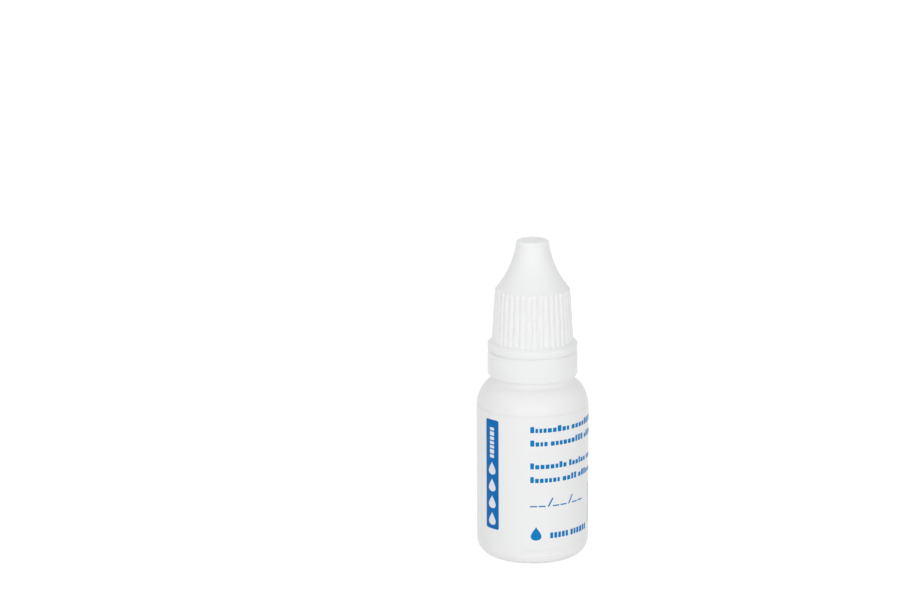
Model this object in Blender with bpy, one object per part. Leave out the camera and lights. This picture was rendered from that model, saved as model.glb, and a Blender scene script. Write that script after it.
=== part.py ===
"""Squeeze dropper bottle for eye drops, 15 ml class: bottle, dropper insert, spire cap, ring and label.

Metres, +Z up. The origin is the middle of the foot, on the surface that the bottle stands on. The front
of the label faces -Y. The bottle stands closed, with the cap screwed home.
"""

import math

import bmesh
import bpy

MM = 0.001

# Bottle body
BODY_RADIUS = 12.5 * MM
BOTTLE_WALL = 0.9 * MM
BASE_CORNER = 3.3 * MM
FOOT_WIDTH = 1.5 * MM
PUSH_UP = 1.3 * MM
SIDE_TOP = 33.5 * MM
SHOULDER_RISE = 6.75 * MM
SHOULDER_TOP_RADIUS = 7.9 * MM
SHOULDER_EXPONENT = 2.2

# Neck, its snap bead and its thread
NECK_RADIUS = 6.4 * MM
NECK_WALL = 1.4 * MM
NECK_FILLET = 0.6 * MM
NECK_EDGE = 0.3 * MM
STEP_WIDTH = 0.9 * MM
STEP_ROOT = 0.6 * MM
SNAP_BEAD_REACH = 2.3 * MM
SNAP_BEAD_LAND = 0.5 * MM
SNAP_BEAD_SLOPE = 1.6 * MM
THREAD_PITCH = 3.0 * MM
THREAD_DEPTH = 0.75 * MM
THREAD_ROOT_WIDTH = 1.5 * MM
THREAD_CREST_WIDTH = 0.7 * MM
THREAD_FOOT_MARGIN = 1.5 * MM
THREAD_TOP_MARGIN = 2.7 * MM
NECK_THREAD_TURNS = 1.5
CAP_THREAD_TURNS = 1.25
THREAD_BITE = 0.2 * MM

# Tamper ring
RING_LIFT = 1.05 * MM
RING_HEIGHT = 5.65 * MM
RING_WALL = 1.05 * MM
RING_FOOT_ROUND = 0.7 * MM
RING_TOP_ROUND = 0.75 * MM
HOOK_BITE = 0.35 * MM
HOOK_HEIGHT = 0.6 * MM
HOOK_SLOPE = 0.8 * MM
HOOK_BASE = 0.3 * MM
BRIDGE_COUNT = 8
BRIDGE_WIDTH = 1.1 * MM
BRIDGE_THICKNESS = 0.25 * MM
BRIDGE_INSET = 0.1 * MM

# Screw cap
SLIT = 0.15 * MM
BEAD_INSET = 0.03 * MM
BEAD_ROUND = 1.33 * MM
BEAD_DROP = 1.18 * MM
RIB_COUNT = 38
RIB_DEPTH = 0.38 * MM
GRIP_WALL = 0.53 * MM
GRIP_TAPER = 0.74 * MM
GRIP_OVER_FLANGE = 2.6 * MM
RIB_ROUND = 0.4 * MM
CONE_INSET = 0.2 * MM
SPIRE_SAG = 0.75 * MM
SPIRE_WALL = 1.2 * MM
RIM_DROP = 0.9 * MM
RIM_ROUND = 0.75 * MM
RIM_WIDTH = 1.1 * MM
RECESS_DEPTH = 0.3 * MM
SKIRT_INSET = 0.4 * MM
SKIRT_DEPTH = 1.2 * MM
SKIRT_SLOPE = 0.6 * MM
PIN_ROOT_RADIUS = 1.0 * MM
PIN_TIP_RADIUS = 0.45 * MM

# Dropper insert
PLUG_DEPTH = 6.6 * MM
PLUG_WALL = 1.1 * MM
PLUG_RELIEF = 0.22 * MM
SEAL_HEIGHT = 0.9 * MM
SEAL_SPACING = 2.4 * MM
PLUG_LEAD = 0.7 * MM
FLANGE_INSET = 0.2 * MM
FLANGE_THICKNESS = 0.8 * MM
FLANGE_EDGE = 0.2 * MM
NOZZLE_FOOT_RADIUS = 3.9 * MM
NOZZLE_TIP_RADIUS = 2.0 * MM
NOZZLE_LENGTH = 11.2 * MM
NOZZLE_WALL = 1.1 * MM
NOZZLE_ROUND = 0.5 * MM
MOUTH_RADIUS = 1.0 * MM
MOUTH_DEPTH = 1.1 * MM
ORIFICE_RADIUS = 0.25 * MM
ORIFICE_LENGTH = 1.4 * MM
ORIFICE_FUNNEL = 0.9 * MM

# Label
LABEL_FOOT_MARGIN = 0.7 * MM
LABEL_TOP_LAP = 1.2 * MM
LABEL_THICKNESS = 0.06 * MM
LABEL_SEAM = 0.4 * MM
LABEL_SEAM_ANGLE = math.radians(112.5)

# Clearances
SEAT_GAP = 0.3 * MM
STEP_GAP = 0.12 * MM
THREAD_GAP = 0.3 * MM
PLUG_GAP = 0.08 * MM
FLANGE_GAP = 0.1 * MM
BRIDGE_GAP = 0.05 * MM
PIN_GAP = 0.2 * MM
TIP_GAP = 0.5 * MM
TIP_ROOM = 0.85 * MM
LABEL_GAP = 0.02 * MM

# Cuts and joins
OVERRUN = 0.3 * MM
WELD = 0.001 * MM

SEGMENTS = 48
CORNER_STEPS = 6
INNER_CORNER_STEPS = 3
ROUND_STEPS = 3
SHOULDER_STEPS = 8
INNER_SHOULDER_STEPS = 4
SPIRE_STEPS = 7
INNER_SPIRE_STEPS = 3
THREAD_STEPS = 30
SMOOTH_BELOW = math.radians(35)

# Shares of the push-up's radius at which its dome has a ring of points
PUSH_UP_SHARES = (0.0, 0.5, 0.85, 1.0)
# Shares of one rib's width: where its crest ends and where the groove's floor starts
RIB_CREST_SHARE = 0.31
RIB_FLOOR_SHARE = 0.4
# Share of the cap's wall that lies inside the rib sleeve's bore, and again between its grooves and the wall
RIB_BURIED_SHARE = 0.25
# Share of one rib's width by which the first rib stands past the front, so that a groove is nearly in front
RIB_TURN_SHARE = 0.35
# Share of a turn over which a thread fades in or out
THREAD_FADE_SHARE = 0.12
# Share of a turn by which the cap's thread starts after the neck's
CAP_THREAD_START_SHARE = 0.4

# Radii that follow from the sizes above
step_radius = SHOULDER_TOP_RADIUS + STEP_WIDTH
neck_bore = NECK_RADIUS - NECK_WALL
snap_bead_radius = NECK_RADIUS + SNAP_BEAD_REACH
ring_bore = snap_bead_radius + SEAT_GAP
ring_radius = ring_bore + RING_WALL
hook_radius = snap_bead_radius - HOOK_BITE
bead_radius = ring_radius - BEAD_INSET
skirt_radius = ring_bore - SKIRT_INSET
cap_bore = NECK_RADIUS + THREAD_DEPTH + THREAD_GAP
groove_top_radius = cap_bore + GRIP_WALL
groove_foot_radius = groove_top_radius + GRIP_TAPER
grip_top_radius = groove_top_radius + RIB_DEPTH
grip_foot_radius = groove_foot_radius + RIB_DEPTH
cone_foot_radius = grip_top_radius - CONE_INSET
spire_tip_radius = NOZZLE_TIP_RADIUS + TIP_GAP + SPIRE_WALL
recess_radius = spire_tip_radius - RIM_WIDTH
plug_radius = neck_bore - PLUG_GAP
flange_radius = NECK_RADIUS - FLANGE_INSET

# Heights above the foot, from the sizes above
shoulder_top = SIDE_TOP + SHOULDER_RISE
ring_foot = shoulder_top + RING_LIFT
ring_top = ring_foot + RING_HEIGHT
step_top = ring_foot - STEP_GAP
hook_foot = ring_foot + HOOK_BASE + HOOK_SLOPE
hook_top = hook_foot + HOOK_HEIGHT
snap_bead_foot = hook_top + SEAT_GAP
cap_foot = ring_top + SLIT
bead_middle = cap_foot + BEAD_DROP
rib_foot = cap_foot + SKIRT_DEPTH + SKIRT_SLOPE
neck_thread_foot = rib_foot + THREAD_FOOT_MARGIN
neck_top = neck_thread_foot + THREAD_PITCH * NECK_THREAD_TURNS + THREAD_TOP_MARGIN
flange_foot = neck_top + FLANGE_GAP
flange_top = flange_foot + FLANGE_THICKNESS
nozzle_top = flange_top + NOZZLE_LENGTH
grip_top = flange_top + GRIP_OVER_FLANGE
ceiling = nozzle_top + TIP_ROOM
cap_top = ceiling + SPIRE_WALL + RECESS_DEPTH
label_foot = BASE_CORNER + LABEL_FOOT_MARGIN
label_top = SIDE_TOP + LABEL_TOP_LAP


def arc(middle_radius, middle_height, radius, start, end, steps):
    """Points of a circular arc in the plane of radius and height; angles in degrees, 0 pointing outwards."""
    points = []
    for step in range(steps + 1):
        angle = math.radians(start + (end - start) * step / steps)
        points.append((
            middle_radius + radius * math.cos(angle),
            middle_height + radius * math.sin(angle),
        ))
    return points


def shoulder(side_radius, top_radius, end_radius, foot, rise, steps):
    """Points of a shoulder: a superellipse from the upright side in and up, as far as its end radius."""
    width = side_radius - top_radius
    end_share = (end_radius - top_radius) / width
    end_angle = math.acos(end_share ** (SHOULDER_EXPONENT / 2))
    points = []
    for step in range(steps + 1):
        angle = end_angle * step / steps
        inwards = math.cos(angle) ** (2 / SHOULDER_EXPONENT)
        upwards = math.sin(angle) ** (2 / SHOULDER_EXPONENT)
        points.append((top_radius + width * inwards, foot + rise * upwards))
    return points


def neck_root(root_foot, root_foot_before):
    """Points of the hollow round from the shoulder up to the step's upright side.

    It starts at the shoulder's last point, with the slope there, and its radius follows from how far outside
    the step that is: the distance over one minus the sine of the slope.
    """
    radius, height = root_foot
    slope = math.atan2(height - root_foot_before[1], root_foot_before[0] - radius)
    round_radius = STEP_ROOT / (1 - math.sin(slope))
    middle_radius = radius + round_radius * math.sin(slope)
    middle_height = height + round_radius * math.cos(slope)
    start = 270 - math.degrees(slope)
    return arc(middle_radius, middle_height, round_radius, start, 180, ROUND_STEPS)[1:]


def spire(foot_radius, foot, tip_radius, tip, steps):
    """Points of a hollow-sided cone: a chord that sags inwards by a parabola."""
    length = math.hypot(foot_radius - tip_radius, tip - foot)
    across = (tip - foot) / length
    along = (foot_radius - tip_radius) / length
    points = []
    for step in range(steps + 1):
        share = step / steps
        sag = SPIRE_SAG * 4 * share * (1 - share)
        points.append((
            foot_radius + (tip_radius - foot_radius) * share - sag * across,
            foot + (tip - foot) * share - sag * along,
        ))
    return points


def push_up(rim_radius, rim_height, rise):
    """Points of the dome under the bottle, from the axis out to its rim."""
    return [(rim_radius * share, rim_height + rise * (1 - share ** 2)) for share in PUSH_UP_SHARES]


def mesh_object(name, shape, material):
    """Turns a bmesh into an object with smooth sides and sharp edges."""
    bmesh.ops.remove_doubles(shape, verts=shape.verts, dist=WELD)
    bmesh.ops.recalc_face_normals(shape, faces=shape.faces)
    mesh = bpy.data.meshes.new(name)
    shape.to_mesh(mesh)
    shape.free()
    mesh.shade_smooth()
    mesh.set_sharp_from_angle(angle=SMOOTH_BELOW)
    mesh.materials.append(material)
    made = bpy.data.objects.new(name, mesh)
    bpy.context.collection.objects.link(made)
    return made


def lathe(name, profile, material, ring=False):
    """Turns a profile of (radius, height) points about Z. A ring's profile closes on itself."""
    shape = bmesh.new()
    points = [shape.verts.new((radius, 0, height)) for radius, height in profile]
    edges = [shape.edges.new(pair) for pair in zip(points, points[1:])]
    if ring:
        edges.append(shape.edges.new((points[-1], points[0])))
    bmesh.ops.spin(
        shape,
        geom=points + edges,
        cent=(0, 0, 0),
        axis=(0, 0, 1),
        angle=math.tau,
        steps=SEGMENTS,
        use_merge=True,
        use_duplicate=False,
    )
    return mesh_object(name, shape, material)


def stitch(shape, rows, close_rows, close_columns):
    """Joins rows of vertices with quads, round each row and from the last row to the first where asked."""
    row_count = len(rows) if close_rows else len(rows) - 1
    column_count = len(rows[0]) if close_columns else len(rows[0]) - 1
    for row in range(row_count):
        lower = rows[row]
        upper = rows[(row + 1) % len(rows)]
        for column in range(column_count):
            beside = (column + 1) % len(lower)
            shape.faces.new((lower[column], lower[beside], upper[beside], upper[column]))


def thread(name, root_radius, depth, start_height, turns, start_angle, material):
    """One helical thread of trapezium section. A negative depth points inwards, as in a cap."""
    inwards = -1 if depth < 0 else 1
    shape = bmesh.new()
    rows = []
    steps = round(THREAD_STEPS * turns)
    for step in range(steps + 1):
        turned = turns * step / steps
        angle = start_angle + math.tau * turned
        height = start_height + THREAD_PITCH * turned
        grown = min(1, turned / THREAD_FADE_SHARE, (turns - turned) / THREAD_FADE_SHARE)
        buried = root_radius - inwards * THREAD_BITE
        crest = root_radius - inwards * THREAD_BITE / 2 + (depth + inwards * THREAD_BITE / 2) * grown
        section = (
            (buried, height - THREAD_ROOT_WIDTH / 2),
            (crest, height - THREAD_CREST_WIDTH / 2),
            (crest, height + THREAD_CREST_WIDTH / 2),
            (buried, height + THREAD_ROOT_WIDTH / 2),
        )
        rows.append([
            shape.verts.new((radius * math.cos(angle), radius * math.sin(angle), place))
            for radius, place in section
        ])
    stitch(shape, rows, close_rows=False, close_columns=True)
    shape.faces.new(rows[0])
    shape.faces.new(rows[-1])
    return mesh_object(name, shape, material)


def hide_tool(tool):
    """Leaves a cutter or a piece to be joined out of the render and the build."""
    tool.hide_render = True
    tool.display_type = "WIRE"


def combine(target, tool, operation):
    """Joins the tool to the target, or cuts it away, with a live Boolean."""
    hide_tool(tool)
    modifier = target.modifiers.new(tool.name, "BOOLEAN")
    modifier.operation = operation
    modifier.solver = "EXACT"
    modifier.object = tool


def plastic(name, colour, roughness):
    """A plain moulded plastic: its colour and how matt it is."""
    material = bpy.data.materials.new(name)
    material.use_nodes = True
    shader = material.node_tree.nodes["Principled BSDF"]
    shader.inputs["Base Color"].default_value = (*colour, 1)
    shader.inputs["Roughness"].default_value = roughness
    shader.inputs["Metallic"].default_value = 0
    return material


def build_bottle(material):
    """Blown bottle: push-up foot, round base corner, upright side, domed shoulder and threaded neck."""
    corner_middle = BODY_RADIUS - BASE_CORNER
    dome_rim = corner_middle - FOOT_WIDTH
    inner_corner = BASE_CORNER - BOTTLE_WALL
    inner_side = BODY_RADIUS - BOTTLE_WALL
    snap_bead_top = snap_bead_foot + SNAP_BEAD_LAND
    inner_shoulder_top = shoulder_top - BOTTLE_WALL

    outside = push_up(dome_rim, 0, PUSH_UP)
    outside += arc(corner_middle, BASE_CORNER, BASE_CORNER, -90, 0, CORNER_STEPS)
    outside += shoulder(
        BODY_RADIUS,
        SHOULDER_TOP_RADIUS,
        step_radius + STEP_ROOT,
        SIDE_TOP,
        SHOULDER_RISE,
        SHOULDER_STEPS,
    )
    outside += neck_root(outside[-1], outside[-2])
    outside.append((step_radius, step_top))
    outside += arc(NECK_RADIUS + NECK_FILLET, step_top + NECK_FILLET, NECK_FILLET, 270, 180, ROUND_STEPS)
    outside += [
        (NECK_RADIUS, snap_bead_foot),
        (snap_bead_radius, snap_bead_foot),
        (snap_bead_radius, snap_bead_top),
        (NECK_RADIUS, snap_bead_top + SNAP_BEAD_SLOPE),
        (NECK_RADIUS, neck_top - NECK_EDGE),
        (NECK_RADIUS - NECK_EDGE, neck_top),
    ]
    inside = [(neck_bore + NECK_EDGE, neck_top), (neck_bore, neck_top - NECK_EDGE)]
    inside += arc(
        neck_bore + NECK_FILLET, inner_shoulder_top + NECK_FILLET, NECK_FILLET, 180, 270, ROUND_STEPS
    )
    inside += reversed(shoulder(
        inner_side,
        SHOULDER_TOP_RADIUS,
        SHOULDER_TOP_RADIUS,
        SIDE_TOP,
        SHOULDER_RISE - BOTTLE_WALL,
        INNER_SHOULDER_STEPS,
    ))
    inside += arc(corner_middle, BASE_CORNER, inner_corner, 0, -90, INNER_CORNER_STEPS)
    inside += reversed(push_up(dome_rim, BOTTLE_WALL, PUSH_UP))

    bottle = lathe("bottle", outside + inside, material)
    neck_thread = thread(
        "neck_thread", NECK_RADIUS, THREAD_DEPTH, neck_thread_foot, NECK_THREAD_TURNS, 0, material
    )
    combine(bottle, neck_thread, "UNION")
    return bottle


def build_dropper_insert(material):
    """Push-in dropper: a plug with two sealing rings, a flange on the neck and a finely bored nozzle."""
    plug_foot = neck_top - PLUG_DEPTH
    relief_radius = plug_radius - PLUG_RELIEF
    lower_seal = plug_foot + PLUG_LEAD
    upper_seal = lower_seal + SEAL_SPACING
    mouth_foot = nozzle_top - MOUTH_DEPTH
    orifice_foot = mouth_foot - ORIFICE_LENGTH
    plug_hollow = plug_radius - PLUG_WALL
    nozzle_hollow = NOZZLE_FOOT_RADIUS - NOZZLE_WALL
    tip_hollow = NOZZLE_TIP_RADIUS - NOZZLE_WALL

    outside = [(relief_radius, plug_foot)]
    for seal_foot in (lower_seal, upper_seal):
        outside += [
            (relief_radius, seal_foot - PLUG_RELIEF),
            (plug_radius, seal_foot),
            (plug_radius, seal_foot + SEAL_HEIGHT),
            (relief_radius, seal_foot + SEAL_HEIGHT + PLUG_RELIEF),
        ]
    outside += [
        (relief_radius, flange_foot),
        (flange_radius - FLANGE_EDGE, flange_foot),
        (flange_radius, flange_foot + FLANGE_EDGE),
        (flange_radius, flange_top - FLANGE_EDGE),
        (flange_radius - FLANGE_EDGE, flange_top),
        (NOZZLE_FOOT_RADIUS, flange_top),
    ]
    outside += arc(
        NOZZLE_TIP_RADIUS - NOZZLE_ROUND, nozzle_top - NOZZLE_ROUND, NOZZLE_ROUND, 0, 90, ROUND_STEPS
    )
    inside = [
        (MOUTH_RADIUS, nozzle_top),
        (ORIFICE_RADIUS, mouth_foot),
        (ORIFICE_RADIUS, orifice_foot),
        (tip_hollow, orifice_foot - ORIFICE_FUNNEL),
        (nozzle_hollow, flange_foot),
        (plug_hollow, neck_top - PLUG_WALL),
        (plug_hollow, plug_foot),
    ]
    return lathe("dropper_insert", outside + inside, material, ring=True)


def rib_sleeve(material):
    """The grip's ribs as one star-shaped sleeve, with its grooves and its bore inside the cap's wall."""
    sleeve_bore = cap_bore + (groove_top_radius - cap_bore) * RIB_BURIED_SHARE
    shape = bmesh.new()

    def star(height, crest_radius, floor_radius):
        row = []
        for rib in range(RIB_COUNT):
            for share, radius in (
                (-RIB_FLOOR_SHARE, floor_radius),
                (-RIB_CREST_SHARE, crest_radius),
                (RIB_CREST_SHARE, crest_radius),
                (RIB_FLOOR_SHARE, floor_radius),
            ):
                angle = math.tau * (rib + share + RIB_TURN_SHARE) / RIB_COUNT - math.pi / 2
                row.append(shape.verts.new((radius * math.cos(angle), radius * math.sin(angle), height)))
        return row

    floor_gap = (groove_top_radius - sleeve_bore) * RIB_BURIED_SHARE
    top_floor = groove_top_radius - floor_gap
    rows = [
        star(rib_foot, sleeve_bore, sleeve_bore),
        star(rib_foot, grip_foot_radius, groove_foot_radius - floor_gap),
    ]
    rib_end = arc(grip_top_radius - RIB_ROUND, grip_top - RIB_ROUND, RIB_ROUND, 0, 90, ROUND_STEPS)
    rows += [star(height, radius, top_floor) for radius, height in rib_end]
    rows.append(star(grip_top, sleeve_bore, sleeve_bore))
    stitch(shape, rows, close_rows=True, close_columns=True)
    return mesh_object("grip_ribs", shape, material)


def build_screw_cap(material):
    """Spire cap: rounded bead at its foot, ribbed grip, hollow-sided spire, inner thread and sealing pin."""
    inner_foot_radius = cone_foot_radius - SPIRE_WALL
    inner_tip_radius = spire_tip_radius - SPIRE_WALL
    mouth_slope = MOUTH_DEPTH / (MOUTH_RADIUS - ORIFICE_RADIUS)
    pin_tip = nozzle_top - MOUTH_DEPTH + (PIN_TIP_RADIUS + PIN_GAP - ORIFICE_RADIUS) * mouth_slope
    bead_start = -math.degrees(math.asin(BEAD_DROP / BEAD_ROUND))

    outside = [
        (0, cap_top - RECESS_DEPTH),
        (recess_radius, cap_top - RECESS_DEPTH),
        (recess_radius, cap_top),
    ]
    outside += arc(spire_tip_radius - RIM_ROUND, cap_top - RIM_ROUND, RIM_ROUND, 90, 0, ROUND_STEPS)
    outside += reversed(spire(
        cone_foot_radius, grip_top, spire_tip_radius, cap_top - RIM_DROP, SPIRE_STEPS
    ))
    outside += [
        (groove_top_radius, grip_top - RIB_ROUND),
        (groove_foot_radius, bead_middle + BEAD_ROUND),
    ]
    outside += arc(bead_radius - BEAD_ROUND, bead_middle, BEAD_ROUND, 80, bead_start, 2 * ROUND_STEPS)
    inside = [
        (skirt_radius, cap_foot),
        (skirt_radius, cap_foot + SKIRT_DEPTH),
        (cap_bore, cap_foot + SKIRT_DEPTH + SKIRT_SLOPE),
        (cap_bore, flange_top + SEAT_GAP),
    ]
    inside += spire(inner_foot_radius, grip_top, inner_tip_radius, ceiling, INNER_SPIRE_STEPS)
    inside += [(PIN_ROOT_RADIUS, ceiling), (PIN_TIP_RADIUS, pin_tip), (0, pin_tip)]

    cap = lathe("screw_cap", outside + inside, material)
    combine(cap, rib_sleeve(material), "UNION")
    cap_thread = thread(
        "cap_thread",
        cap_bore,
        -THREAD_DEPTH,
        neck_thread_foot + THREAD_PITCH * (CAP_THREAD_START_SHARE - 1 / 2),
        CAP_THREAD_TURNS,
        math.tau * CAP_THREAD_START_SHARE,
        material,
    )
    combine(cap, cap_thread, "UNION")
    return cap


def bridge_stubs(material):
    """The short webs that join the ring to the cap until it is first opened, as they stand on the ring."""
    inner = ring_bore + BRIDGE_INSET
    outer = inner + BRIDGE_THICKNESS
    foot = ring_top - OVERRUN
    top = cap_foot - BRIDGE_GAP
    half_angle = BRIDGE_WIDTH / (inner + outer)
    shape = bmesh.new()
    for stub in range(BRIDGE_COUNT):
        middle = math.tau * (stub + 1 / 2) / BRIDGE_COUNT - math.pi / 2
        rows = []
        for height in (foot, top):
            corners = (
                (inner, middle - half_angle),
                (outer, middle - half_angle),
                (outer, middle + half_angle),
                (inner, middle + half_angle),
            )
            rows.append([
                shape.verts.new((radius * math.cos(angle), radius * math.sin(angle), height))
                for radius, angle in corners
            ])
        stitch(shape, rows, close_rows=False, close_columns=True)
        shape.faces.new(rows[0])
        shape.faces.new(rows[-1])
    return mesh_object("bridge_stubs", shape, material)


def build_tamper_ring(material):
    """Tamper ring: a rounded collar with a hook under the neck's snap bead and the webs' stubs on top."""
    outside = arc(
        ring_radius - RING_FOOT_ROUND, ring_foot + RING_FOOT_ROUND, RING_FOOT_ROUND, -90, 0, ROUND_STEPS
    )
    outside += arc(
        ring_radius - RING_TOP_ROUND, ring_top - RING_TOP_ROUND, RING_TOP_ROUND, 0, 90, ROUND_STEPS
    )
    inside = [
        (ring_bore, ring_top),
        (ring_bore, hook_top),
        (hook_radius, hook_top),
        (hook_radius, hook_foot),
        (ring_bore, hook_foot - HOOK_SLOPE),
        (ring_bore, ring_foot),
    ]
    ring = lathe("tamper_ring", outside + inside, material, ring=True)
    combine(ring, bridge_stubs(material), "UNION")
    return ring


def build_label(material):
    """Film label wrapped round the side, its two ends a hair apart at the back."""
    inner = BODY_RADIUS + LABEL_GAP
    outer = inner + LABEL_THICKNESS
    profile = [(inner, label_foot), (outer, label_foot), (outer, label_top), (inner, label_top)]
    label = lathe("label", profile, material, ring=True)

    shape = bmesh.new()
    along = (math.cos(LABEL_SEAM_ANGLE), math.sin(LABEL_SEAM_ANGLE))
    rows = []
    for height in (label_foot - OVERRUN, label_top + OVERRUN):
        corners = (
            (inner - OVERRUN, -LABEL_SEAM / 2),
            (outer + OVERRUN, -LABEL_SEAM / 2),
            (outer + OVERRUN, LABEL_SEAM / 2),
            (inner - OVERRUN, LABEL_SEAM / 2),
        )
        rows.append([
            shape.verts.new((
                reach * along[0] - aside * along[1],
                reach * along[1] + aside * along[0],
                height,
            ))
            for reach, aside in corners
        ])
    stitch(shape, rows, close_rows=False, close_columns=True)
    shape.faces.new(rows[0])
    shape.faces.new(rows[-1])
    combine(label, mesh_object("seam_cut", shape, material), "DIFFERENCE")
    return label


def clear_scene():
    """Removes whatever the file opened with."""
    for thing in list(bpy.data.objects):
        bpy.data.objects.remove(thing, do_unlink=True)


def main():
    clear_scene()
    build_bottle(plastic("bottle_white", (0.86, 0.86, 0.85), 0.4))
    build_dropper_insert(plastic("insert_natural", (0.82, 0.83, 0.83), 0.35))
    build_screw_cap(plastic("cap_white", (0.9, 0.9, 0.9), 0.32))
    build_tamper_ring(plastic("ring_white", (0.88, 0.88, 0.88), 0.32))
    build_label(plastic("label_film", (0.87, 0.87, 0.87), 0.45))


main()
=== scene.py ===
# %% [markdown]
# # A squeeze bottle for eye drops
#
# This lesson dresses the plain solids of a 15 ml dropper bottle. The solids give every size and
# place, and how the cap turns. The pieces made here have the same shapes with what a faceted
# solid leaves out: rounded edges, fine ribs, threads, mould lines, a printed film label, and the
# waxy whites of moulded plastics.
#
# The real bottle is five pieces: a blown body, a film label, a ring that stays on the neck, a
# spire cap and a dropper moulding under it. Each of them is one turned shape, so one idea carries
# the whole lesson: a profile of radius and height, swept round the axis as a grid of points, and
# pushed in or out where a rib or a thread needs it.

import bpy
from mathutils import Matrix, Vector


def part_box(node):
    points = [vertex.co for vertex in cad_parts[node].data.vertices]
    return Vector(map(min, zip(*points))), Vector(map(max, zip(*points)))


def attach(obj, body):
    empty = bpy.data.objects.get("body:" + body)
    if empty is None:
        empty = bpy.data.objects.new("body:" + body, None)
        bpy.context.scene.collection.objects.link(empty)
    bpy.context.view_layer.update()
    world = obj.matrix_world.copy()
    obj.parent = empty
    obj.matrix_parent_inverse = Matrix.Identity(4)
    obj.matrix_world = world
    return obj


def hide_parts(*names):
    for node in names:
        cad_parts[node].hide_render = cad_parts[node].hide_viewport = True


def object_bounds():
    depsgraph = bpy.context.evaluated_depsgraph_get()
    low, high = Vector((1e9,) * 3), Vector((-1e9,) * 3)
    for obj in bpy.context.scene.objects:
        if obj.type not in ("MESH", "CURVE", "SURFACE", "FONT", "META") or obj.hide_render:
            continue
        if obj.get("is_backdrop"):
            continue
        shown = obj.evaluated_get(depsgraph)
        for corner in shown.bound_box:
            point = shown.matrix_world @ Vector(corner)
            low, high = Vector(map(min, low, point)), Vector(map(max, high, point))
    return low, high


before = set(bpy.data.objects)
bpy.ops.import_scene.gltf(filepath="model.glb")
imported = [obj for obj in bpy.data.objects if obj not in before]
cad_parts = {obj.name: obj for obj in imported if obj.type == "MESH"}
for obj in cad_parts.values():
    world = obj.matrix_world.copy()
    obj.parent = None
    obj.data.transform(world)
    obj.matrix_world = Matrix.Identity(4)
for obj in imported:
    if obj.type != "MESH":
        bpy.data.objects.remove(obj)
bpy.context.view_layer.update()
print("nodes:", ", ".join(sorted(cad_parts)))

# %% [markdown]
# ## Units and driving sizes
#
# Sizes are written in millimetres times MM, so they read as they would on a drawing. Whatever the
# solids can tell is measured on them. The rest are the walls, rounds and gaps of each piece,
# named where it is made.

import bmesh
import bpy
import numpy as np
from mathutils import Matrix

MM = 0.001
MICRON = 0.001 * MM
FULL_TURN = 2 * np.pi
FRONT = -np.pi / 2


def reach(node):
    """The widest radius of a solid about the axis, and its foot and top."""
    low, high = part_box(node)
    return high.x, low.z, high.z


body_radius, _, neck_top = reach("bottle")
bead_radius, cap_foot, cap_top = reach("screw_cap")
ring_radius, ring_foot, _ = reach("tamper_ring")
_, plug_foot, nozzle_top = reach("dropper_insert")
_, film_foot, film_top = reach("label")
print("body radius, mm:", round(body_radius / MM, 2), " cap top, mm:", round(cap_top / MM, 2))

# %% [markdown]
# ## The camera
#
# The photograph looks down on the bottle from a little above, with a long lens, and the bottle
# stands right of the frame's middle. Shifting the lens could put it there, but a shift stays when
# the camera moves to another view. So the camera is turned instead: one direction has to land on
# one pixel, and the bottle's axis has to stay upright in the picture. Two pairs of directions
# that are square to each other fix a turn, so the camera's matrix is the product of two small
# frames, one written in the room and one written in the picture.

# %% Aim the camera
FRAME_WIDTH_PX = 900
FRAME_HEIGHT_PX = 600
AXIS_X_PX = 532.5
AIM_Y_PX = 396.6
AIM_HEIGHT = 36 * MM
CAMERA_DISTANCE = 700 * MM
CAMERA_ELEVATION = np.radians(15.7)
LENS_MM = 125.02
SENSOR_MM = 36
NEAR_CLIP = CAMERA_DISTANCE / 100


def unit(vector):
    """A vector divided by its length."""
    return vector / np.linalg.norm(vector)


def aim_camera():
    """Turns the camera so that the aim point lands on its pixel with the axis upright.

    Columns of the first frame: the line of sight, the room's right, and their cross product. The
    second frame has the same three directions as the picture needs them. The turn is the first
    times the second transposed.
    """
    focal_px = LENS_MM / SENSOR_MM * FRAME_WIDTH_PX
    place = np.array([
        0,
        -CAMERA_DISTANCE * np.cos(CAMERA_ELEVATION),
        AIM_HEIGHT + CAMERA_DISTANCE * np.sin(CAMERA_ELEVATION),
    ])
    sight = unit(np.array([0, 0, AIM_HEIGHT]) - place)
    right = np.array([1.0, 0, 0])
    across = (AXIS_X_PX - FRAME_WIDTH_PX / 2) / focal_px
    upwards = (FRAME_HEIGHT_PX / 2 - AIM_Y_PX) / focal_px
    picture_sight = unit(np.array([across, upwards, -1]))
    picture_right = unit(np.array([1, 0, across]))
    room_frame = np.stack([sight, right, np.cross(sight, right)], axis=1)
    picture_frame = np.stack(
        [picture_sight, picture_right, np.cross(picture_sight, picture_right)], axis=1
    )
    turn = room_frame @ picture_frame.T
    lens = bpy.data.cameras.new("camera")
    lens.lens = LENS_MM
    lens.sensor_width = SENSOR_MM
    lens.clip_start = NEAR_CLIP
    camera = bpy.data.objects.new("camera", lens)
    bpy.context.collection.objects.link(camera)
    camera.matrix_world = Matrix.Translation(place) @ Matrix(turn.tolist()).to_4x4()
    bpy.context.scene.camera = camera
    return camera


camera = aim_camera()
print("camera at, mm:", [round(x / MM, 1) for x in camera.location])

# %% [markdown]
# ## Outlines
#
# A lathe needs an outline: points of radius and height. Corners on moulded plastic are never
# sharp, because a mould is cut with a round tool, so an outline here is a few corners with a
# round at each one. Long straight runs are then split into short steps. The steps keep the
# shading even, since a smooth surface blends its normals from point to point, and they give
# threads something to push.

# %% Draw outlines
TINY = 0.01 * MICRON
ROUND_STEPS = 6


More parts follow.
